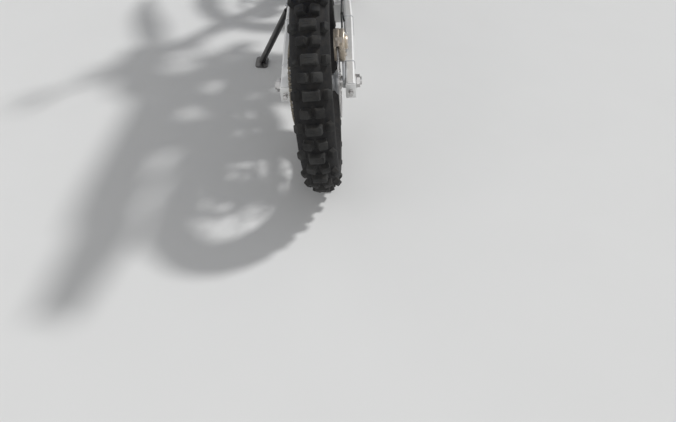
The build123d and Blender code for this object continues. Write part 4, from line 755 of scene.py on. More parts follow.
# Rear sprocket: each tooth's points as a share of its pitch and a reach past the pitch circle
TOOTH = [(-0.36, -4.4), (-0.2, -1.2), (-0.08, 2.6), (0.08, 2.6), (0.2, -1.2), (0.36, -4.4), (0.5, -5.2)]
sprocket = bmesh.new()
toothed = [polar(pitch_radius + reach, middle + share * 2 * math.pi / REAR_TEETH)
           for middle in angles(REAR_TEETH) for share, reach in TOOTH]
windows = [circle(0, 0, 36, 48)]
for middle in angles(6):
    spread = [middle + 0.09 * t for t in range(-4, 5)]
    window = [polar(96, a) for a in spread] + [polar(62, a) for a in reversed(spread[1:-1])]
    windows.append(rounded(window, 6.0, 2))
    windows += [circle(*polar(106, middle + d), 4.2, 12) for d in (0.3, 0.75)]
slab(sprocket, toothed, windows, Matrix.Translation(AXLE_REAR) @ side_on(CHAIN_X - 2.8), 5.6, 0.6, 1)
for a in angles(6, 0.5):
    bolt(sprocket, AXLE_REAR + Vector((CHAIN_X - 2.8, *polar(50, a))), -RIGHT, 11, 5)
piece("rear_sprocket", sprocket, "bare_aluminium", "rear_wheel")

# Fenders: each row has its place Y and Z, tilt, half width, crown height and skirt depth
REAR_FENDER = [(240, 868, -8, 66, 9, 2), (120, 879, -9, 82, 12, 24), (20, 889, -9, 92, 15, 42),
               (-160, 917, -5, 78, 14, 26), (-300, 930, -2, 62, 9, 10)]
FRONT_FENDER = [(1120, 790, -68, 52, 10, 12), (1142, 884, -52, 66, 12, 14), (1190, 942, -27, 70, 13, 12),
                (1262, 956, -5, 86, 15, 22), (1400, 946, 4, 100, 17, 34), (1560, 920, 14, 84, 16, 22),
                (1700, 866, 25, 46, 9, 7)]


def fender(name, body, rows, tip, ridge):
    """An arched shell along its spine; tip pulls points of its last rows, ridge raises its spine."""
    bm = bmesh.new()
    loops = []
    spine = smooth_rows(rows, 7)
    for k, (y, z, tilt, half, crown, skirt) in enumerate(spine):
        t = math.radians(tilt)
        section = [(-half, -skirt), (-half * 0.88, 0), (-half * 0.42, crown), (0, crown + ridge),
                   (half * 0.42, crown), (half * 0.88, 0), (half, -skirt)]
        row = []
        for x, up in rounded(section, half * 0.16, 5, closed=False):
            pull = tip(x, len(spine) - 1 - k)
            row.append((x, y + math.sin(t) * up + math.cos(t) * pull,
                        z + math.cos(t) * up - math.sin(t) * pull))
        loops.append(row)
    skin(bm, loops, ring=False, caps=False)
    piece(name, bm, "body_plastic", body, angle=60, wall=3.2, rim=0.9)


def tail_notch(x, last):
    """A round notch in the tip, for a row last from the end."""
    return max(math.sqrt(max(38.0 ** 2 - x * x, 0)) - 14.0, 0) * max(0.0, 1 - last / 4)


def nose(x, last):
    """A rounded tip, for a row last from the end."""
    return -0.004 * x * x * max(0.0, 1 - last / 3)


fender("rear_fender", "chassis", REAR_FENDER, tail_notch, 2.0)
fender("front_fender", "steering", FRONT_FENDER, nose, 3.0)
fender_boss = bmesh.new()
block(fender_boss, (54, 32, 44), on_fork(on_axis(LOWER_CLAMP_Z) - STEER_DIR * 23 + AHEAD * 8), 3)
piece("front_fender_boss", fender_boss, "body_plastic", "steering")


# Moulded panels
def sheet(name, look, body, forms, facing, step, wall, rim, corner):
    """A thin wall; each form is an outline, its holes and the surface that gives a point.

    Where facing is given, faces are turned to its way, and the wall grows on their other side.
    """
    bm = bmesh.new()
    for outline, holes, place in forms:
        flat, faces = filled(rounded(outline, corner, 4), holes, step)
        verts = [bm.verts.new(place(x, y)) for x, y in flat]
        for face in faces:
            bm.faces.new([verts[i] for i in face])
    bmesh.ops.delete(bm, geom=[v for v in bm.verts if not v.link_faces], context="VERTS")
    for face in list(bm.faces):
        if facing and face.normal.dot(facing(face.calc_center_median())) < 0:
            face.normal_flip()
    piece(name, bm, look, body, angle=50, wall=wall, rim=rim, keep_normals=True)


def drum_wall(side, x, bulge, middle, lean, pivot, features):
    """A surface on a large upright drum that leans in at its top, with pressed-in features."""
    def place(y, z):
        bow = math.sqrt(bulge ** 2 - (y - middle) ** 2) - bulge
        out = x + bow / math.cos(math.radians(lean)) + (pivot - z) * math.tan(math.radians(lean))
        return Vector((side * (out + features(y, z)), y, z))
    return place


def step_in(value, width):
    """A smooth step from 0 to 1 over a width about zero."""
    t = min(max(value / width + 0.5, 0.0), 1.0)
    return t * t * (3 - 2 * t)


def shroud_form(y, z):
    upper = step_in(z - (842 + (y - 960) * 0.16), 12) * 4.0
    return upper - 3.6 * step_in(z - (905 + (y - 960) * 0.2), 12)


def side_form(y, z):
    return -3.6 * step_in((y - 470) * 0.4 + (z - 735), 16) + 3.0 * step_in(z - 815, 14)


def outward(centre):
    return RIGHT * math.copysign(1, centre.x)


PANEL_WALL = 3.0
SHROUD = [(1150, 930), (1128, 800), (1085, 690), (1020, 640), (960, 700), (900, 800), (800, 900), (790, 950),
          (980, 985)]
SIDE = [(130, 866), (240, 760), (420, 690), (560, 640), (640, 700), (650, 830), (560, 850), (300, 868)]
SHROUD_WALLS = {side: drum_wall(side, 184, 520, 1100, 6, 930, shroud_form) for side in SIDES}
SIDE_WALLS = {-1: drum_wall(-1, 112, 1600, 420, 12, 866, side_form),
              1: drum_wall(1, 142, 3000, 420, 22, 866, side_form)}
louvres = [rounded([(1008 + 2 * n, 712 + 25 * n), (1070 + 7 * n, 752 + 25 * n), (1068 + 7 * n, 763 + 25 * n),
                    (1004 + 2 * n, 723 + 25 * n)], 5, 3) for n in range(3)]
sheet("shrouds", "body_plastic", "chassis", [(SHROUD, louvres, SHROUD_WALLS[side]) for side in SIDES],
      outward, 5.5, PANEL_WALL, 0.9, 14.0)
sheet("side_panels", "white_plastic", "chassis", [(SIDE, [], SIDE_WALLS[side]) for side in SIDES], outward,
      9.0, PANEL_WALL, 0.9, 14.0)

# Seat: a foam pad under a fitted cover; each row has Y, low, high, half widths at its base and top
SEAT_ROWS = [(30, 913, 956, 72, 52), (200, 897, 962, 84, 62), (480, 871, 946, 82, 60),
             (700, 868, 952, 64, 46), (800, 900, 992, 52, 34)]
seat_rows = smooth_rows(SEAT_ROWS, 12)
seat = bmesh.new()
seat_loops = []
for y, low, high, base, top in seat_rows:
    outline = [(-base + 6, low), (-base, low + 4), (-base, low + 22), (-top, high - 9), (-top + 16, high),
               (0, high + 3), (top - 16, high), (top, high - 9), (base, low + 22), (base, low + 4),
               (base - 6, low)]
    seat_loops.append([(x, y, z) for x, z in rounded(outline, 12, 4)])
skin(seat, seat_loops)
made_seat = piece("seat", seat, "seat_cover", angle=70, subsurf=1)

# Rear brake caliper: two halves bolted over the disc, on a flat carrier round the axle
CALIPER = [(20, 56), (12, 100), (28, 128), (62, 142), (100, 128), (118, 104), (118, 76), (88, 54)]
CALIPER_BRIDGE = [(6, 114), (28, 129), (62, 143), (101, 129), (119, 104), (119, 62), (104, 48),
                  (96, 62), (80, 82), (58, 98), (30, 110)]
CALIPER_FACE = 87.8
CARRIER = [(-24, -8), (-16, 26), (34, 62), (92, 62), (98, 44), (62, 24), (24, -14), (0, -24)]
caliper = bmesh.new()
caliper_line = rounded(above(CALIPER), 12, 4)
pad_window = rounded(above([(48, 84), (46, 104), (84, 104), (86, 84)]), 5, 3)
slab(caliper, caliper_line, [pad_window], side_on(54.5), 7.6, 2.0)
slab(caliper, caliper_line, [], side_on(70.0), 18.0, 4.0, 3)
slab(caliper, rounded(above(CALIPER_BRIDGE), 5, 3), [], side_on(60.0), 12.0, 1.2)
for y, up in ((30, 76), (104, 92)):
    cap_bolt(caliper, from_axle(CALIPER_FACE, y, up), RIGHT, 11, 4.5)
lathe(caliper, [(-2, 25), (0, 23), (1, 21.5), (7, 20.5), (9.5, 18), (9.5, 13), (7.6, 12), (7.6, 0.1)],
      from_axle(CALIPER_FACE, 66, 98), RIGHT, 40)
for up in (-7, 0, 7):
    fin = [(18, 118 + up * 0.3), (30, 126 + up), (31, 123 + up), (19, 115 + up * 0.3)]
    slab(caliper, above(fin), [], side_on(61.0), 20.0, 0.4, 1)
piece("rear_caliper", caliper, "bronze_caliper")
carrier = bmesh.new()
carrier_holes = [circle(0, REAR_RADIUS, 12.7, 32),
                 rounded(above([(22, 14), (24, 34), (48, 48), (66, 46), (44, 22)]), 5, 3)]
slab(carrier, rounded(above(CARRIER), 9, 4), carrier_holes, side_on(76.0), 8.4, 1.2)
rod(carrier, from_axle(70.5, 66, 100), from_axle(88, 66, 100), 3.0, 12)
for y, up in ((40, 52), (84, 54)):
    rod(carrier, from_axle(62, y, up), from_axle(84, y, up), 5.0, 16)
piece("rear_caliper_carrier", carrier, "cast_aluminium")
banjo = bmesh.new()
lathe(banjo, [(0, 7.0), (1, 7.6), (8, 7.6), (9, 7.0)], from_axle(80, 121, 96), RIGHT, 20)
bolt(banjo, from_axle(88.5, 121, 96), RIGHT, 9, 5)
rod(banjo, from_axle(80, 132, 98), from_axle(80, 152, 101), 4.6, 14)
piece("rear_hose_union", banjo, "steel")

# Axle ends: adjuster blocks in the arms, their graduation marks, bolts and washers
ARM_X = 99.5
blocks = bmesh.new()
slab(blocks, rounded(above([(-40, -21), (-40, 17), (42, 21), (42, -17)]), 7, 4),
     [circle(0, REAR_RADIUS, 13, 32)], side_on(113.4), 2.4, 0.8)
block(blocks, (31, 7, 46), at(from_axle(ARM_X, -49.5, -4.5)), 2.0)
for n in range(-3, 6):
    mark = (0.8, 1.2, 6.5 if n % 2 else 9.0)
    block(blocks, mark, at(from_axle(116.0, n * 6.0 + 2, n * 0.2 - 17.5)), 0.2, 1)
both_sides(blocks)
piece("axle_blocks", blocks, "bare_aluminium")
adjusters = bmesh.new()
rod(adjusters, from_axle(ARM_X, -46, -5), from_axle(ARM_X, -70, -5), 4.0, 14)
rod(adjusters, from_axle(ARM_X, -53.5, -5), from_axle(ARM_X, -60.3, -5), 9.0, 6)
rod(adjusters, from_axle(ARM_X, -67, -5), from_axle(ARM_X, -72.8, -5), 7.2, 6)
lathe(adjusters, [(0, 21.5), (0, 20.0), (0.1, 21.0), (0.8, 21.5), (2.4, 21.5), (2.9, 21.0)],
      from_axle(115.6, 0, 0), RIGHT, 36)
both_sides(adjusters)
piece("axle_adjusters", adjusters, "steel")

# Welds of the swingarm and the frame: each has its middle, its beam's fall, width and height, its size
WELDS = [(96, 430, 393, 0, 26, 84, 1.9), (ARM_X, 300, 377, 0, 29, 74, 1.9), (ARM_X, 60, 348, 0, 29, 58, 1.9),
         (90, 644, 600, 66, 22, 66, 2.1), (72, 930, 905, 43, 20, 58, 2.1), (30, 1048, 1008, 39, 22, 63, 2.1)]
welds = bmesh.new()
for x, y, z, fall, wide, high, size in WELDS:
    t = math.radians(fall)
    section = at((x, y, z), (0, -math.cos(t), -math.sin(t)), RIGHT)
    weld(welds, box_loop(section, wide + 0.8, high + 0.8, 7, 4), size)
both_sides(welds)
piece("welds", welds, "frame_coat")

# Frame bolts and pivot nuts, each at a distance out, Y and Z with a size and height
SPAR_FACE, PLATE_FACE, ARM_PIVOT = 80.0, 97.0, (592, 408)
FRAME_BOLTS = [(PLATE_FACE, 644, 558, 13, 6), (PLATE_FACE, 566, 396, 13, 6), (PLATE_FACE, 640, 352, 13, 6),
               (SPAR_FACE, 766, 776, 11, 5), (SPAR_FACE, 792, 838, 11, 5), (13.0, 638, 692, 15, 6),
               (21.4, 512, 352, 14, 5), (21.4, 434, 336, 14, 5), (21.4, 606, 318, 14, 5)]
bolts = bmesh.new()
for out in (-RIGHT, RIGHT):
    lathe(bolts, [(0, 18), (1.5, 18), (2.0, 17)], (out.x * 106.0, *ARM_PIVOT), out, 32)
    lathe(bolts, [(0, 13), (8, 13), (9.5, 11.5)], (out.x * 107.5, *ARM_PIVOT), out, 6)
    for x, y, z, size, height in FRAME_BOLTS:
        bolt(bolts, (out.x * x, y, z), out, size, height)
piece("frame_bolts", bolts, "steel")

# The chain's rubbing strip over the arm
STRIP = [(404, 436), (452, 437), (560, 434), (616, 430), (622, 418), (627, 420), (623, 434),
         (606, 440), (560, 441), (452, 444), (404, 442)]
strip = bmesh.new()
slab(strip, rounded(STRIP, 2.5, 3), [], side_on(-84), 26, 1.2)
piece("chain_strip", strip, "black_plastic")

# Engine: a flange round the cases' split, their bolts, ribs round the cylinder
CASE_MIDDLE, CRANK, GEARBOX = (780.0, 428.0), (822.0, 428.0), (706.0, 424.0)
CASE = [(640, 424), (652, 480), (720, 498), (782, 530), (908, 517), (918, 430), (880, 344),
        (800, 337), (690, 345), (652, 380)]
CYL_LEAN = math.radians(6)
CYL_FOOT = Vector((0, 846, 524))
CYL_UP = Vector((0, math.sin(CYL_LEAN), math.cos(CYL_LEAN)))
CYL_AHEAD = Vector((0, math.cos(CYL_LEAN), -math.sin(CYL_LEAN)))


def on_barrel(up, x=0.0, ahead=0.0):
    """A point up the cylinder's axis, across it and ahead of it."""
    return CYL_FOOT + CYL_UP * up + RIGHT * x + CYL_AHEAD * ahead


def barrel_loop(up, wide, long, corner=12, steps=5):
    """A rounded rectangle square to the cylinder's axis, at a height up it."""
    return box_loop(at(on_barrel(up), CYL_UP, RIGHT), wide, long, corner, steps)


def case_reach(angle):
    """How far the cases reach from their middle at an angle of the side view."""
    def in_case(point):
        return inside(point, CASE) or math.dist(point, CRANK) < 92 or math.dist(point, GEARBOX) < 70

    return max((step for step in range(40, 200) if in_case(polar(step, angle, *CASE_MIDDLE))), default=0.0)


case_line = [polar(case_reach(a) + 2.5, a, *CASE_MIDDLE) for a in angles(90)]
engine = bmesh.new()
slab(engine, case_line, [], side_on(-3.0), 6.0, 1.2)
for y, z in case_line[::7]:
    if z <= 505 or not 770 < y < 915:
        inward = Vector((0, CASE_MIDDLE[0] - y, CASE_MIDDLE[1] - z)).normalized() * 6
        rod(engine, Vector((-24, y, z)) + inward, Vector((26, y, z)) + inward, 8.0, 16, 1.2)
for up in (22, 46, 70, 94):
    slab(engine, box_line(104, 114, 13, 4), [], at(on_barrel(up), CYL_UP, RIGHT), 4.0, 1.2)
piece("engine_ribs", engine, "cast_aluminium")

# Engine covers: each has its face X, its way out, its middle Y and Z, its radius and its cap's
GENERATOR, CLUTCH, PUMP = (826, 430), (740, 430), (852, 404)
covers = bmesh.new()
for x, way, spot, radius, cap_radius in ((-52.2, -1, GENERATOR, 65, 48), (62.2, 1, CLUTCH, 78, 60),
                                         (62.2, 1, PUMP, 38, 24)):
    out, centre = RIGHT * way, Vector((x, *spot))
    deep, high = (34, 42.3) if radius > 40 else (30, 30.3)
    lathe(covers, [(0, radius + 5), (5, radius + 5), (7, radius + 3.5), (7, radius - 4), (0, radius - 4)],
          centre, out, 72, closed=True)
    lathe(covers, [(deep - 1, radius + 0.2), (deep + 1.8, radius - 3), (deep + 1.8, cap_radius + 1),
                   (deep - 1, cap_radius + 1)], centre, out, 72, closed=True)
    centre = centre + out * high
    lathe(covers, [(0, cap_radius - 1), (1.6, cap_radius - 4), (1.6, cap_radius - 10), (0, cap_radius - 12)],
          centre, out, 60, closed=True)
    for turn in (n * 2 * math.pi / 3 + 0.5 for n in range(3)):
        middle = centre + Vector((0, *polar(cap_radius * 0.45, turn)))
        block(covers, (2.4, cap_radius * 0.55, 4.0), at(middle) @ Matrix.Rotation(turn, 4, "X"), 1.0)
piece("engine_cover_rims", covers, "dark_cover")
# Their bolts: each circle has its face X, way out, middle, radius and count
cover_bolts = bmesh.new()
for x, way, spot, radius, count in ((-59.2, -1, GENERATOR, 66, 7), (69.2, 1, CLUTCH, 79, 9),
                                    (69.2, 1, PUMP, 39, 4), (103.0, 1, CLUTCH, 50, 5),
                                    (-93.0, -1, GENERATOR, 38, 5)):
    for turn in angles(count, 0.3):
        cap_bolt(cover_bolts, (x, *polar(radius, turn, *spot)), RIGHT * way, 8.5, 4.5)
for y, x in ((806, -46), (888, -46), (806, 46), (888, 46)):
    bolt(cover_bolts, (x, y + 15, 719 - (y - 846) * 0.105), (0, 0.105, 0.995), 13, 6)
piece("engine_bolts", cover_bolts, "steel")
guard = bmesh.new()
GUARD = [(628, 452), (650, 474), (700, 470), (716, 440), (712, 396), (690, 372), (652, 370), (634, 392)]
slots = [rounded([(650 + d, 404), (664 + d, 404), (664 + d, 442), (650 + d, 442)], 6, 3) for d in (0, 24)]
slab(guard, rounded(GUARD, 12, 4), slots, side_on(-92.0), 5.0, 1.4)
for y, z in ((702, 456), (700, 384), (646, 458)):
    rod(guard, (-88, y, z), (-53, y, z), 6.0, 16)
    cap_bolt(guard, (-91.5, y, z), -RIGHT, 8, 4)
piece("sprocket_cover", guard, "black_plastic")

# Radiator cores and their cap
RADIATOR = Vector((128, 1090, 745))
fins = bmesh.new()
for n in range(29):
    for ahead in (-15.3, 15.3):
        spot = RADIATOR + STEER_DIR * (n - 14) * 6.3 + AHEAD * ahead
        block(fins, (75, 1.4, 2.6), on_fork(spot) @ Matrix.Rotation(0.5, 4, "X"), 0.3, 1)
for n in range(8):
    for ahead in (-15.6, 15.6):
        block(fins, (1.6, 1.6, 184), on_fork(RADIATOR + RIGHT * (n - 3.5) * 10.6 + AHEAD * ahead), 0.3, 1)
both_sides(fins)
piece("radiator_fins", fins, "cast_aluminium")
cap = bmesh.new()
lathe(cap, [(0, 13), (6, 13), (6, 19), (8, 20.5), (12, 20.5), (14, 18.5), (15, 10), (16.5, 9), (16.5, 0.1)],
      RADIATOR + STEER_DIR * 119, STEER_DIR, 30)
piece("radiator_cap", cap, "steel")

# Fork: guards, wipers, top caps and pinch bolts
GUARD_LOW, GUARD_OUT, GUARD_IN = 50.0, 43.0, 39.0
guards = bmesh.new()
guard_line = [(10 - GUARD_OUT, 12), (-14, GUARD_OUT), (18, GUARD_OUT), (GUARD_OUT, 14), (GUARD_OUT, -16),
              (GUARD_IN, -16), (GUARD_IN, 12), (16, GUARD_IN), (-12, GUARD_IN), (14 - GUARD_OUT, 12)]
slab(guards, rounded(guard_line, 7, 4), [], on_fork(fork_point(FORK_SPREAD, 0, GUARD_LOW)),
     OUTER_END - 24 - GUARD_LOW, 1.2)
for up in (84, 180, 276):
    block(guards, (16, 2.0, 54), on_fork(fork_point(FORK_SPREAD + 2, GUARD_OUT + 0.4, up)), 1.0)
rod(guards, fork_point(FORK_SPREAD, 29.3, GUARD_LOW + 6),
    fork_point(FORK_SPREAD, GUARD_OUT - 2, GUARD_LOW + 6), 5, 16)
both_sides(guards)
piece("fork_guards", guards, "white_plastic", "steering")
fork_parts, fork_steel, wipers = bmesh.new(), bmesh.new(), bmesh.new()
lathe(fork_parts, [(0, 28.6), (2, 29.6), (9, 29.6), (10.5, 28), (10.5, 20), (14, 19), (14, 8), (12, 7),
                   (12, 0.1)], fork_point(FORK_SPREAD, 0, LEG_TOP), STEER_DIR, 36)
lathe(fork_parts, [(0, 13), (7, 13), (8, 12), (8, 0.1)], fork_point(FORK_SPREAD, 0, LEG_TOP + 10),
      STEER_DIR, 6)
for up in (OUTER_END + 14.5, OUTER_END + 210, LEG_TOP - 3):
    lathe(fork_parts, [(-2, 29.1), (-1.2, 29.9), (1.2, 29.9), (2, 29.1)],
          fork_point(FORK_SPREAD, 0, up), STEER_DIR, 40)
lathe(wipers, [(-1, 24.4), (-1, 32), (-6, 32.8), (-11, 30), (-14, 25.6), (-14, 24.4)],
      fork_point(FORK_SPREAD, 0, OUTER_END - 12), STEER_DIR, 36, closed=True)
for x in (-12.8, 12.8):
    for up in (24, 42):
        cap_bolt(fork_steel, fork_point(FORK_SPREAD + x, -26.5, up), -AHEAD, 9, 5)
for low in (CLAMP_LOW, CLAMP_TOP):
    for up in (9, 23):
        cap_bolt(fork_steel, fork_point(66, -36, low + up), -AHEAD, 9, 6)
for up in (84, 250):
    cap_bolt(fork_steel, fork_point(FORK_SPREAD + GUARD_OUT, 4, up), RIGHT, 9, 3)
for ahead in (-19, 11):
    cap_bolt(fork_steel, fork_point(50, ahead, BAR_UP + 20), STEER_DIR, 8.5, 5)
both_sides(fork_parts, fork_steel, wipers)
stem_top = on_axis(UPPER_CLAMP_Z) + STEER_DIR * CLAMP_THICK
lathe(fork_parts, [(0, 20), (3, 20), (4, 18)], stem_top, STEER_DIR, 32)
lathe(fork_parts, [(3, 17), (12, 17), (13.5, 15), (13.5, 8), (10, 7), (10, 0.1)], stem_top, STEER_DIR, 6)
piece("fork_caps", fork_parts, "bare_aluminium", "steering")
piece("fork_bolts", fork_steel, "steel", "steering")
piece("fork_wipers", wipers, "soft_rubber", "steering")

# Headstock plate, blank, its middle standing forward
PLATE = [(-70, 0), (70, 0), (98, 60), (108, 150), (104, 200), (44, 222), (-44, 222), (-104, 200), (-108, 150),
         (-98, 60)]


def on_plate(x, up):
    bow = 12 * (1 - (x / 108) ** 2) * min(1.0, up / 50)
    rise = bow + 2.2 * step_in(62 - abs(x), 8) * step_in(up - 38, 10)
    return fork_point(x, 44.3 + max(rise, 0), CLAMP_LOW + 4 + up)


sheet("number_plate", "white_plastic", "steering", [(PLATE, [], on_plate)], None, 9.0, 4.0, 1.2, 16)


# Bars: grips with rings of ribs, lever perches, master cylinder, throttle housing and pad
def bar_point(x, rise, back):
    return fork_point(x, -4.0, BAR_UP) + Vector((0, -back, rise))


BAR_BEND, BAR_END = bar_point(195, 84, 12), bar_point(405, 92, 64)
GRIP_DIR = (BAR_END - BAR_BEND).normalized()
LEVER_Y = Vector((0, -0.25, 1)).cross(GRIP_DIR).normalized()
LEVER_Z = GRIP_DIR.cross(LEVER_Y)
LEVER_AT = BAR_END - GRIP_DIR * 159.0


def by_lever(along, y, z):
    """A point along the bar from the lever's clamp, ahead of it and above it."""
    return LEVER_AT + GRIP_DIR * along + LEVER_Y * y + LEVER_Z * z


grips, perches, lid, levers, boots = (bmesh.new() for _ in range(5))
profile = [(0.0, 11.4), (0.0, 15.5), (1.0, 17.0), (4.0, 17.4), (5.5, 16.0)]
for near in (7.0 + n * 4.6 for n in range(24)):
    profile += [(near, 15.0), (near + 0.8, 16.1), (near + 2.6, 16.1), (near + 3.4, 15.0)]
profile += [(118.5, 16.0), (119.5, 24.0), (121.0, 26.0), (123.5, 26.0), (125.0, 24.0), (125.0, 11.4)]
lathe(grips, profile, BAR_END, -GRIP_DIR, 30, closed=True)
both_sides(grips)
piece("grips", grips, "soft_rubber", "steering", angle=50)
band(perches, LEVER_AT, GRIP_DIR, 12.0, 18.8, 15, 1.5, 1.4, closed=False)
for along in (-8, 8):
    cap_bolt(perches, by_lever(along, 12, -17), -LEVER_Z, 7.5, 5)
both_sides(perches)
block(perches, (44, 24, 26), at(by_lever(-14, 33, 11), LEVER_Z, GRIP_DIR), 5, 3)
lathe(perches, [(0, 8), (2, 10), (38, 10), (40, 8)], by_lever(-24, 33, 3), GRIP_DIR, 24)
piece("lever_perches", perches, "dark_cover", "steering")
block(lid, (47, 27, 4), at(by_lever(-14, 33, 26), LEVER_Z, GRIP_DIR), 1.6)
for along in (1, -29):
    cap_bolt(lid, by_lever(along, 33, 28), LEVER_Z, 6, 2)
piece("reservoir_lid", lid, "cast_aluminium", "steering")
BLADE = [(-16, 14), (12, 14), (17, 34), (40, 46), (70, 53), (150, 57), (168, 60), (176, 66),
         (174, 73), (164, 75), (150, 68), (100, 65), (60, 66), (30, 62), (2, 48), (-19, 30)]
slab(levers, rounded(BLADE, 8, 4), [circle(0, 24, 3.5, 14)],
     at(by_lever(0, 0, -8.5), LEVER_Z, GRIP_DIR), 10.0, 2.6, 3)
rod(levers, by_lever(0, 24, -11), by_lever(0, 24, 5), 4.4, 14)
both_sides(levers)
piece("levers", levers, "cast_aluminium", "steering")
band(boots, BAR_END - GRIP_DIR * 138, GRIP_DIR, 12, 24, 12, 2, 2, 36, closed=False)
block(boots, (20, 18, 30), at(BAR_END - GRIP_DIR * 138 - LEVER_Z * 24, LEVER_Z, GRIP_DIR), 4, 3)
to_left = Vector((-1, 1, 1))
switch = BAR_END - GRIP_DIR * 137
band(boots, switch * to_left, GRIP_DIR * to_left, 12, 16.5, 7, 1, 1, 28, closed=False)
block(boots, (13, 12, 12), at((switch - LEVER_Y * 19) * to_left, LEVER_Z * to_left), 3, 3)
piece("throttle_housing", boots, "black_plastic", "steering")
button = bmesh.new()
lathe(button, [(0, 4.2), (2.6, 4.2), (3.4, 3.0)], (switch - LEVER_Y * 25) * to_left, -LEVER_Y * to_left, 20)
piece("stop_button", button, "bronze_caliper", "steering")
pad, seams = bmesh.new(), bmesh.new()
block(pad, (150, 62, 40), on_fork(fork_point(0, 0, BAR_UP + 40)), 13, 4)
made_pad = piece("bar_pad", pad, "seat_cover", "steering", subsurf=1, angle=80)
for up in (54.5, 25.5):
    pipe(seams, [fork_point(x, y, BAR_UP + up) for x, y in box_line(151.2, 63.2, 14, 6)], 1.3, 8, closed=True)
piece("bar_pad_seams", seams, "soft_rubber", "steering")

# Seat piping along both edges, and two cross seams
piping = bmesh.new()
for side in SIDES:
    pipe(piping, [(side * (top - 2.5), y, high - 5.0) for y, low, high, base, top in seat_rows[2:-2]], 1.5, 8)
for y, low, high, base, top in (seat_rows[14], seat_rows[34]):
    over = [(-base - 0.4, low + 20), (-top - 0.3, high - 8.5), (-top + 16, high + 0.6),
            (0, high + 3.2), (top - 16, high + 0.6), (top + 0.3, high - 8.5), (base + 0.4, low + 20)]
    pipe(piping, [(x, y, z) for x, z in rounded(over, 10, 5, closed=False)], 1.1, 8)
piece("seat_piping", piping, "soft_rubber")

# Tank: full shoulders, domed top and a ribbed cap; each row has Z, middle Y, half width and half length
TANK_ROWS = [(790, 872, 46, 54), (860, 875, 48, 58), (930, 878, 50, 62), (974, 882, 53, 68),
             (990, 884, 70, 78), (1003, 885, 90, 86), (1014, 886, 91, 86), (1024, 886, 80, 81),
             (1032, 887, 60, 70), (1036, 888, 34, 50)]
CAP_Y = 905


def squared(value):
    """A cosine or sine drawn towards a square's side."""
    return math.copysign(abs(value) ** 0.55, value)


tank = bmesh.new()
skin(tank, [[(wide * squared(math.cos(a)), y + long * squared(math.sin(a)), z) for a in angles(56)]
            for z, y, wide, long in smooth_rows(TANK_ROWS, 3)])
rod(tank, (-64, CAP_Y, 884), (64, CAP_Y, 884), 8.0, 20)
lathe(tank, [(0, 40), (4, 38), (6, 35)], (0, CAP_Y, 1031), UP, 48)
piece("fuel_tank", tank, "tank_plastic", angle=60)
fuel_cap = bmesh.new()
slab(fuel_cap, knurled(32.5, 1.6, 96, CAP_Y), [], at((0, 0, 1033)), 11.0, 1.0)
lathe(fuel_cap, [(0, 29), (1.2, 27.5), (1.6, 12), (4.5, 10), (4.5, 5), (9, 4.2), (10, 3.2)],
      (0, CAP_Y, 1043.8), UP, 36)
piece("fuel_cap", fuel_cap, "black_plastic")

# Exhaust: port flange, pipe clamps, silencer, its ends, strap and rivets
SILENCER_DIR = Vector((0, -1.0, 0.13)).normalized()
SILENCER_AT = Vector((118, 328, 743))
HEADER_BEND, HEADER_END = Vector((124, 700, 636)), Vector((118, 460, 700))
port = on_barrel(160, 0, 60.3)
collars = bmesh.new()
lathe(collars, [(0, 21.2), (0, 30), (5, 30), (6, 28), (6, 21.2)], port, CYL_AHEAD, 30)
for x in (-34, 34):
    bolt(collars, port + RIGHT * x, CYL_AHEAD, 12, 8)
block(collars, (84, 16, 5), at(port + CYL_AHEAD * 2.6, CYL_AHEAD, RIGHT), 2)
for share in (0.18, 0.86):
    spot, way = HEADER_BEND.lerp(HEADER_END, share), HEADER_END - HEADER_BEND
    band(collars, spot, way, 21.3, 23.4, 9, 1, 0.6, 36, closed=False)
    cap_bolt(collars, spot + UP * 26, RIGHT, 7, 8)
    block(collars, (9, 14, 9), at(spot + Vector((-3, 0, 25)), way), 1.5)
piece("exhaust_collars", collars, "steel")


def oval(along, wide, high):
    """The silencer's section: a rounded box, at a distance along it."""
    place = at(SILENCER_AT + SILENCER_DIR * along, SILENCER_DIR, RIGHT)
    return box_loop(place, wide, high, min(wide, high) * 0.567, 9)


muffler, ends, strap = bmesh.new(), bmesh.new(), bmesh.new()
skin(muffler, [oval(*row) for row in ((40, 72, 94), (46, 76, 100), (364, 76, 100), (370, 72, 94))])
piece("silencer", muffler, "bare_aluminium")
for rows in (((0.3, 45, 45), (14, 50, 52), (44, 75, 98), (48, 78, 102), (58, 78, 102), (59, 76, 100)),
             ((351, 76, 100), (352, 78, 102), (366, 78, 102), (372, 75, 98), (404, 54, 62), (409, 48, 56))):
    skin(ends, [oval(*row) for row in rows])
lathe(ends, [(404, 14.2), (404, 18), (420, 18), (421, 17), (421, 14.8), (420, 14.2)],
      SILENCER_AT, SILENCER_DIR, 30, closed=True)
piece("silencer_ends", ends, "dark_cover")
skin(strap, [oval(*row) for row in ((192, 76, 100), (192.5, 79, 103), (211.5, 79, 103), (212, 76, 100))])
for base in (53, 359):
    for spot in oval(base, 78, 102)[::5]:
        lathe(strap, [(-0.6, 2.6), (0.4, 2.4), (1.1, 1.4), (1.3, 0.1)], spot,
              spot - SILENCER_AT - SILENCER_DIR * base, 10)
strap_at = SILENCER_AT + SILENCER_DIR * 202
block(strap, (34, 20, 5), at(strap_at + Vector((-26, 0, 52)), UP, RIGHT), 1.6)
bolt(strap, strap_at + Vector((-36, 0, 54)), UP, 10, 5)
piece("silencer_band", strap, "steel")

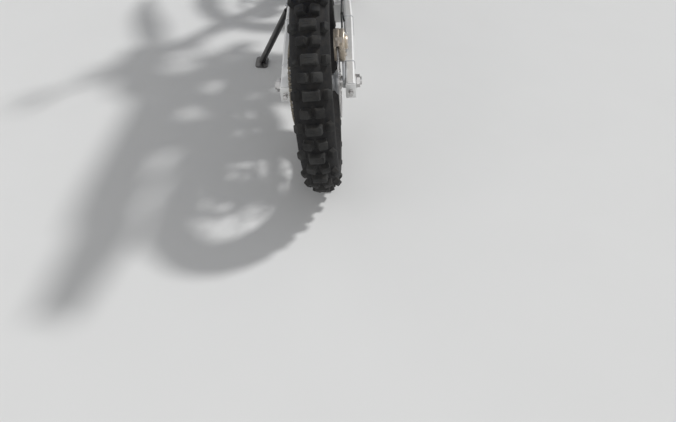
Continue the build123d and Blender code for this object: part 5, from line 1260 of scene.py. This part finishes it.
# Pegs' teeth, and the stand's spring along its leg
teeth = bmesh.new()
places = [(131 + n * 10.5, y) for n in range(10) for y in (563.5, 599.0)]
for x, y in places + [(232.5, 581), (178.5, 581)]:
    lathe(teeth, [(-1, 3.6), (1.0, 3.2), (5.5, 0.8)], (x, y, 398), UP, 4)
sleeve(teeth, (114, 580, 384), FORWARD, 5, 9, 17, 18, closed=False)
both_sides(teeth)
piece("peg_teeth", teeth, "steel")
SPRING_LENGTH, SPRING_WRAPS, WRAP_STEPS = 84.0, 13, 12
to_upright = chassis_m.inverted()
fold_way = (to_upright.to_3x3() @ joint_axis("side_stand_fold")).normalized()
pivot = to_upright @ joint_point("side_stand_fold")
stand_low, stand_high = (Vector(corner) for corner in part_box("side_stand"))
foot = (stand_low + stand_high) / 2
foot.z = 0.0
down = to_upright @ foot - pivot
down = (down - fold_way * down.dot(fold_way)).normalized()
out_way = down.cross(fold_way)
start = pivot - fold_way * 17.0 + down * 20
spring = bmesh.new()
helix = []
for n in range(SPRING_WRAPS * WRAP_STEPS + 1):
    turn = 2 * math.pi * n / WRAP_STEPS
    coil = (fold_way * math.cos(turn) + out_way * math.sin(turn)) * 6.5
    helix.append(start + down * (SPRING_LENGTH * n / (SPRING_WRAPS * WRAP_STEPS)) + coil)
pipe(spring, helix, 1.25, 7)
piece("stand_spring", spring, "steel", "side_stand")

# Fasteners of the bodywork, and the spacers behind it
SHROUD_SCREWS, SIDE_SCREWS = [(1116, 900), (1068, 690), (842, 912)], [(600, 820), (590, 690), (270, 830)]
SCREW = [(-1, 8.0), (0.8, 7.6), (1.8, 6.0), (1.8, 3.0), (0.6, 2.6), (0.6, 0.1)]
fasteners, spacers = bmesh.new(), bmesh.new()
for side in SIDES:
    out = RIGHT * side
    shroud_wall, side_wall = SHROUD_WALLS[side], SIDE_WALLS[side]
    for wall, spots in ((shroud_wall, SHROUD_SCREWS), (side_wall, SIDE_SCREWS)):
        for y, z in spots:
            lathe(fasteners, SCREW, wall(y, z), out, 20)
    rod(spacers, (side * 44, 842, 905), shroud_wall(842, 912) - out * PANEL_WALL, 8, 20)
    lathe(spacers, [(0, 14), (3, 13), (8, 8.2)], (side * 49.5, 842, 905.5), out, 28)
    for up in (66, 10):
        foot = Vector((side * 166, RADIATOR.y, RADIATOR.z)) + STEER_DIR * up
        rod(spacers, foot, shroud_wall(foot.y, foot.z) - out * PANEL_WALL, 6, 18)
        block(spacers, (4, 26, 34), on_fork(foot + out * 1.6), 1.5)
    for y, z in (SIDE_SCREWS[0], SIDE_SCREWS[2]):
        rod(spacers, (side * 60, y, 849), side_wall(y, z) - out * PANEL_WALL, 6.5, 18)
piece("panel_fasteners", fasteners, "steel")
piece("panel_spacers", spacers, "black_plastic")
screws = bmesh.new()
for x in (-26, 26):
    for y in (1214, 1246):
        cap_bolt(screws, (x, y, 966.5 + (1246 - y) * 0.16), (0, 0.1, 1), 9, 3)
piece("fender_screws", screws, "steel", "steering")

# Shock: threaded body, knurled adjusting rings and reservoir cap
SHOCK_TOP, SHOCK_LOW = Vector((0, 638, 692)), Vector((0, 512, 352))
SHOCK_DIR = (SHOCK_LOW - SHOCK_TOP).normalized()
thread = bmesh.new()
profile = [(34, 23.2)]
for n in range(14):
    profile += [(36 + n * 3.0, 23.2), (37.2 + n * 3.0, 24.3)]
lathe(thread, profile + [(79, 23.2)], SHOCK_TOP, SHOCK_DIR, 40)
for base in (77.5, 84.5):
    slab(thread, knurled(36.0, 1.5, 80), [circle(0, 0, 23, 40)],
         at(SHOCK_TOP + SHOCK_DIR * base, SHOCK_DIR, RIGHT), 6.0, 0.6)
reservoir = SHOCK_TOP + SHOCK_DIR * 34 + FORWARD * 66
lathe(thread, [(-4, 12), (-4, 19), (-3, 20), (0.2, 20)], reservoir, SHOCK_DIR, 30)
lathe(thread, [(118, 23.4), (120, 24.4), (126, 24.4), (128, 23.4)], reservoir, SHOCK_DIR, 36)
piece("shock_rings", thread, "dark_cover")

# Front brake caliper: halves bolted over the disc's rim behind the left leg, on a bracket from the axle lug
FRONT_DISC_RIM = 133.0
front_caliper, bracket, pads = bmesh.new(), bmesh.new(), bmesh.new()
half_line = rounded(by_leg([(-34, 74), (-37, 147), (-69, 147), (-95, 117), (-89, 69), (-53, 51)]), 13, 4)
pad_window = rounded(by_leg([(-50, 84), (-50, 116), (-70, 116), (-74, 84)]), 5, 3)
slab(front_caliper, half_line, [], side_on(-81.5), 17.0, 3.4, 3)
slab(front_caliper, half_line, [pad_window], side_on(-53.5), 13.5, 3.0, 3)
axle_flat = (AXLE_FRONT.y, AXLE_FRONT.z)
outside = [p for p in resampled(half_line, 2.0) if math.dist(p, axle_flat) > FRONT_DISC_RIM]
first, last = (math.atan2(p[1] - axle_flat[1], p[0] - axle_flat[0]) for p in (outside[-1], outside[0]))
rim_arc = [polar(FRONT_DISC_RIM, first + (last - first) * n / 16, *axle_flat) for n in range(1, 16)]
slab(front_caliper, outside + rim_arc, [], side_on(-66.0), 14.0, 1.0)
for ahead, up in ((-66, 128), (-70, 84)):
    lathe(front_caliper, [(0, 15.5), (1.8, 15), (2.8, 13), (2.8, 9), (1.2, 8), (1.2, 0.1)],
          fork_point(-81.4, ahead, up), -RIGHT, 32)
for ahead, up in ((-84, 106), (-46, 138), (-50, 66)):
    cap_bolt(front_caliper, fork_point(-81.5, ahead, up), -RIGHT, 9, 4)
piece("front_caliper", front_caliper, "bronze_caliper", "steering")
bracket_line = [(-8, 18), (-8, 60), (-20, 72), (-20, 128), (-44, 140), (-44, 50), (-26, 16)]
slab(bracket, rounded(by_leg(bracket_line), 7, 4),
     [rounded(by_leg([(-26, 70), (-26, 116), (-38, 122), (-38, 64)]), 4, 3)], side_on(-83.6), 12.0, 1.2)
for up in (28, 52):
    cap_bolt(bracket, fork_point(-71.6, -15, up), RIGHT, 10, 5)
piece("front_caliper_bracket", bracket, "cast_aluminium", "steering")
for x in (FRONT_DISC_X - 7.8, FRONT_DISC_X + 2.6):
    pad_line = rounded(by_leg([(-40, 80), (-40, 122), (-74, 122), (-78, 80)]), 5, 3)
    slab(pads, pad_line, [], side_on(x), 5.0, 0.8)
rod(pads, fork_point(-70, -80, 100), fork_point(-39, -80, 100), 2.6, 12)
lathe(pads, [(0, 7), (1, 7.6), (7, 7.6), (8, 7)], fork_point(-66, -52, 147),
      -STEER_DIR.cross(AHEAD).cross(AHEAD), 20)
rod(pads, fork_point(-62, -52, 146), fork_point(-62, -52, 166), 4.8, 16)
bolt(pads, fork_point(-54, -54, 141), RIGHT, 9, 5)
piece("front_pads", pads, "steel", "steering")

# Front brake hose on one easy line, and what holds it to the leg and the bars
lever_in = by_lever(-18.9, 20, -3.5)
HOSE = [fork_point(-62, -52, 151), fork_point(-62, -52, 205), fork_point(-100, -50, 285),
        fork_point(-130, -42, 350), fork_point(-154, -4, 450), fork_point(-161, 26, 590),
        fork_point(-154, 48, CLAMP_TOP - 80), fork_point(-134, 66, CLAMP_TOP + 14),
        fork_point(-92, 78, CLAMP_TOP + 66), fork_point(-20, 86, CLAMP_TOP + 84), bar_point(70, 62, -68),
        lever_in - GRIP_DIR * 84 + LEVER_Y * 6, lever_in - GRIP_DIR * 24, lever_in]
front_hose, clips = bmesh.new(), bmesh.new()
pipe(front_hose, smooth_path(HOSE, 10), 3.25, 14)
piece("front_brake_hose", front_hose, "hose_rubber", "steering")
clip_end = fork_point(-124, -43, 335)
rod(clips, fork_point(-123, -23, 335), clip_end, 4.0, 14)
sleeve(clips, clip_end, HOSE[3] - HOSE[2], 3.4, 5.6, 6)
rod(clips, lever_in - GRIP_DIR * 2, lever_in - GRIP_DIR * 20, 5.4, 16)
piece("hose_clips", clips, "black_plastic", "steering")

# Coolant hose in one easy sweep from the right radiator to the pump
COOLANT = [(112, 1119.8, 650.6), (112, 1084, 648), (107, 1036, 604), (98, 988, 524), (88, 950, 478),
           (80, 918, 450), (80, 883.4, 426)]
coolant = bmesh.new()
pipe(coolant, smooth_path(COOLANT, 10), 10.0, 22)
piece("radiator_hose", coolant, "soft_rubber")

# Clamps of the intake boot and the coolant hose, guides of the rear brake hose on the right arm
clamps, guides = bmesh.new(), bmesh.new()
for spot, way in ((on_barrel(166, 0, -70), CYL_AHEAD), (Vector((0, 582, 786)), FORWARD)):
    band(clamps, spot, way, 24.4, 26.6, 6, 0.6, 0.6, 40)
    cap_bolt(clamps, spot + Vector((6, 0, 28.4)), RIGHT, 7, 12)
radiator_outlet = Vector((112, RADIATOR.y - 30, RADIATOR.z)) - STEER_DIR * 106
pump_way = Vector((0, *polar(1, math.radians(35))))
for spot, way in ((radiator_outlet, FORWARD), (Vector((80, *PUMP)) + pump_way * 51, pump_way)):
    band(clamps, spot, way, 9.6, 11.0, 4.5, 0.5, 0.4)
    cap_bolt(clamps, spot + Vector((5, 0, 12.5)), RIGHT, 5.5, 9)
piece("hose_clamps", clamps, "steel")
for y, z, up in ((262, 441, 36), (402, 447, 34)):
    rod(guides, (86, y, z - up + 8), (81, y, z), 3.0, 12)
    sleeve(guides, (79.4, y, z), FORWARD, 3.3, 5.2, 5)
piece("rear_hose_guides", guides, "black_plastic")

# Valve stems and rim locks: each has its turn round the rim, length and thickness
for end, axle, rim in (("rear", AXLE_REAR, REAR_RADIUS - 128), ("front", AXLE_FRONT, FRONT_RADIUS - 98)):
    stems = bmesh.new()
    for turn, long, thick in ((1.31, 34, 3.6), (1.31 + math.pi * 0.82, 26, 4.6)):
        way = Vector((0, *polar(1, turn)))
        foot = axle + way * rim
        rod(stems, foot, foot - way * long, thick, 16)
        lathe(stems, [(0, thick + 3.4), (3.6, thick + 3.4), (4, thick + 2.8)], foot - way * 9, -way, 6)
        lathe(stems, [(0, thick + 1.2), (0.6, thick + 1.6), (9, thick + 1.6), (10, thick + 0.8)],
              foot - way * (long - 9), -way, 18)
    piece(f"{end}_valve", stems, "steel", f"{end}_wheel")

# Head: dark cam cover with its screws and plug well, gaskets at each joint, plugs and rims of the head
COVER_ROWS = [(194.0, 108, 108), (195.0, 110, 110), (200.5, 110, 110), (201.5, 108.6, 108.6),
              (202.5, 101.5, 101.5), (226, 95, 95), (240, 88, 88), (243, 82, 82)]
cam_cover, cover_screws, gaskets, bosses = (bmesh.new() for _ in range(4))
skin(cam_cover, [barrel_loop(*row) for row in COVER_ROWS])
skin(cam_cover, [barrel_loop(*row) for row in ((242, 66, 30, 8), (245.0, 66, 30, 8), (246.5, 62, 26, 8))])
for ahead in (-27, 27):
    skin(cam_cover, [[p + CYL_AHEAD * ahead for p in barrel_loop(*row)]
                     for row in ((241, 74, 11, 4), (244.0, 73, 10, 4), (245.0, 70, 7, 3))])
piece("cam_cover", cam_cover, "dark_cover")
for x in (-48, 48):
    for ahead in (-47, 0, 47):
        cap_bolt(cover_screws, on_barrel(200.5, x, ahead), CYL_UP, 7.5, 5)
for x in (-24, 24):
    cap_bolt(cover_screws, on_barrel(246.2, x), CYL_UP, 7.5, 3)
piece("cam_cover_screws", cover_screws, "steel")
for up, wide, long in ((-1.0, 101.4, 111.4), (122.6, 101.4, 111.4), (192.2, 107.6, 117.6)):
    skin(gaskets, [barrel_loop(up, wide, long), barrel_loop(up + 1.8, wide, long)])
piece("gaskets", gaskets, "black_plastic")
for side in SIDES:
    for ahead in (-30, 30):
        lathe(bosses, [(0, 15), (2.4, 13), (2.4, 7), (1.2, 6), (1.2, 0.1)], on_barrel(146, side * 54, ahead),
              RIGHT * side, 32)
for up in (134, 186):
    taper = (up - 124) * 0.055
    line = barrel_loop(up, 111.6 - taper, 121.6 - taper)
    skin(bosses, [[p + CYL_UP * high for p in line] for high in (0, 3.0)])
piece("head_bosses", bosses, "cast_aluminium")

# Engine sides: oil filler, sight glass, drain plug and a shaft boss
fittings = bmesh.new()
lathe(fittings, [(0, 8.5), (5, 8.5), (6, 7.8), (6, 5.6), (9, 5.2), (9.6, 4.4)],
      (96.2, 788.8, 478.8), RIGHT, 6)
lathe(fittings, [(0, 8), (2.2, 7.6), (2.8, 6.6), (1.6, 5.8), (1.6, 0.1)], (96.2, 686, 384), RIGHT, 32)
bolt(fittings, (0, 760, 338), -UP, 17, 6)
lathe(fittings, [(0, 9), (3, 9), (4, 8), (4, 5.6), (10, 5.2), (10, 0.1)], (-53, 758, 470), -RIGHT, 24)
piece("engine_fittings", fittings, "steel")

# Bosses of the engine hangers, under the frame's upper bolts
hangers = bmesh.new()
for side in SIDES:
    for x, y, z in ((SPAR_FACE, 766, 776), (SPAR_FACE, 792, 838), (PLATE_FACE, 644, 558)):
        lathe(hangers, [(-1, 15), (1.2, 15), (2.2, 14)], (side * x, y, z), RIGHT * side, 32)
piece("hanger_bosses", hangers, "frame_coat")

# Number plate's screws
plate_screws = bmesh.new()
for x in (-74, 74):
    cap_bolt(plate_screws, fork_point(x, 50.4, CLAMP_LOW + 176), AHEAD, 9, 3)
cap_bolt(plate_screws, fork_point(0, 51.0, CLAMP_LOW + 34), AHEAD, 9, 3)
piece("plate_screws", plate_screws, "steel", "steering")

# CAD nodes that stay, by their finish
KEPT = {
    "cast_aluminium": ("rear_hub", "front_hub", "triple_clamps", "engine_cases", "cylinder", "radiators",
                       "shock", "shock_linkage", "foot_controls"),
    "bare_aluminium": ("fork_tubes", "swingarm", "skid_plate"),
    "steel": ("front_axle", "rear_axle", "drive_sprocket", "foot_pegs"),
    "chrome": ("fork_sliders",),
    "frame_coat": ("frame", "subframe"),
    "dark_cover": ("handlebar", "engine_covers"),
    "black_plastic": ("chain_guide", "airbox"),
    "exhaust_steel": ("exhaust_header",),
    "spring_coat": ("shock_spring",),
    "black_steel": ("side_stand",),
    "soft_rubber": ("intake",),
    "hose_rubber": ("rear_brake_hose",),
}
for look, names in KEPT.items():
    for name in names:
        mesh = frame["nodes"][name].data
        mesh.materials.clear()
        mesh.materials.append(LOOKS[look])


# Floor, light and camera
def plain_floor(size):
    material = bpy.data.materials.new("floor")
    material.use_nodes = True
    tree = material.node_tree
    shader = tree.nodes["Principled BSDF"]
    place = node(tree, "TexCoord").outputs["Object"]
    grey = node(tree, "TexNoise", {"Vector": place, "Scale": 3.0, "Detail": 4.0})
    tone = mix(tree, grey.outputs["Fac"], (0.76, 0.76, 0.75), (0.79, 0.79, 0.78))
    tree.links.new(tone, shader.inputs["Base Color"])
    shader.inputs["Roughness"].default_value = 0.85
    mesh = bpy.data.meshes.new("floor")
    corners = [(-size, -size, 0), (size, -size, 0), (size, size, 0), (-size, size, 0)]
    mesh.from_pydata(corners, [], [(0, 1, 2, 3)])
    mesh.materials.append(material)
    floor = bpy.data.objects.new("floor", mesh)
    bpy.context.scene.collection.objects.link(floor)


def light(name, kind, way, energy, location=(0, 0, 0)):
    """A light that shines along a way."""
    data = bpy.data.lights.new(name, kind)
    data.energy = energy
    made = bpy.data.objects.new(name, data)
    made.location = location
    made.rotation_mode = "QUATERNION"
    made.rotation_quaternion = way.to_track_quat("-Z", "Y")
    bpy.context.scene.collection.objects.link(made)
    return data


MIDDLE, LAMP_WIDTH, LAMP_POWER = Vector((0.05, 0.0, 0.6)), 5.0, 60.0
SUN_FROM, SUN_BLUR, SUN_STRENGTH = Vector((4.15, 2.7, 6.4)), math.radians(6.0), 1.75
WORLD_STRENGTH, SHOWN_STRENGTH = 0.36, 0.68
plain_floor(40.0)
light("key", "SUN", -SUN_FROM, SUN_STRENGTH).angle = SUN_BLUR
for name, location in (("fill", Vector((-6.0, -4.5, 6.0))), ("back", Vector((1.5, -8.0, 5.5)))):
    lamp = light(name, "AREA", MIDDLE - location, LAMP_POWER, location)
    lamp.shape = "DISK"
    lamp.size = LAMP_WIDTH
world = bpy.data.worlds.new("studio")
world.use_nodes = True
sky = world.node_tree
path = node(sky, "LightPath")
shown = node(sky, "Math", {0: path.outputs["Is Camera Ray"], 1: path.outputs["Is Glossy Ray"]},
             operation="MAXIMUM")
strength = ranged(sky, shown.outputs[0], 0.0, 1.0, WORLD_STRENGTH, SHOWN_STRENGTH)
background = sky.nodes["Background"]
background.inputs["Color"].default_value = (0.97, 0.98, 1.0, 1.0)
sky.links.new(strength, background.inputs["Strength"])
bpy.context.scene.world = world

# The camera stands where the photograph was taken from
CAMERA_AT = Vector((0.1228, -2.3972, 1.3492))
CAMERA_YAW, CAMERA_DOWN, CAMERA_ROLL = (math.radians(a) for a in (2.84, 42.39, 4.39))
FOCAL_PIXELS, FRAME_PIXELS = 621.6, 676.0
sight = Vector((math.sin(CAMERA_YAW) * math.cos(CAMERA_DOWN), math.cos(CAMERA_YAW) * math.cos(CAMERA_DOWN),
                -math.sin(CAMERA_DOWN)))
level = sight.cross(UP).normalized()
rise = level.cross(sight)
right = level * math.cos(CAMERA_ROLL) + rise * math.sin(CAMERA_ROLL)
top = rise * math.cos(CAMERA_ROLL) - level * math.sin(CAMERA_ROLL)
camera_data = bpy.data.cameras.new("camera")
camera_data.sensor_width = 36.0
camera_data.lens = FOCAL_PIXELS / FRAME_PIXELS * camera_data.sensor_width
camera = bpy.data.objects.new("camera", camera_data)
camera.matrix_world = Matrix.Translation(CAMERA_AT) @ Matrix((right, top, -sight)).transposed().to_4x4()
bpy.context.scene.collection.objects.link(camera)
bpy.context.scene.camera = camera
bpy.context.scene.view_settings.view_transform = "Standard"
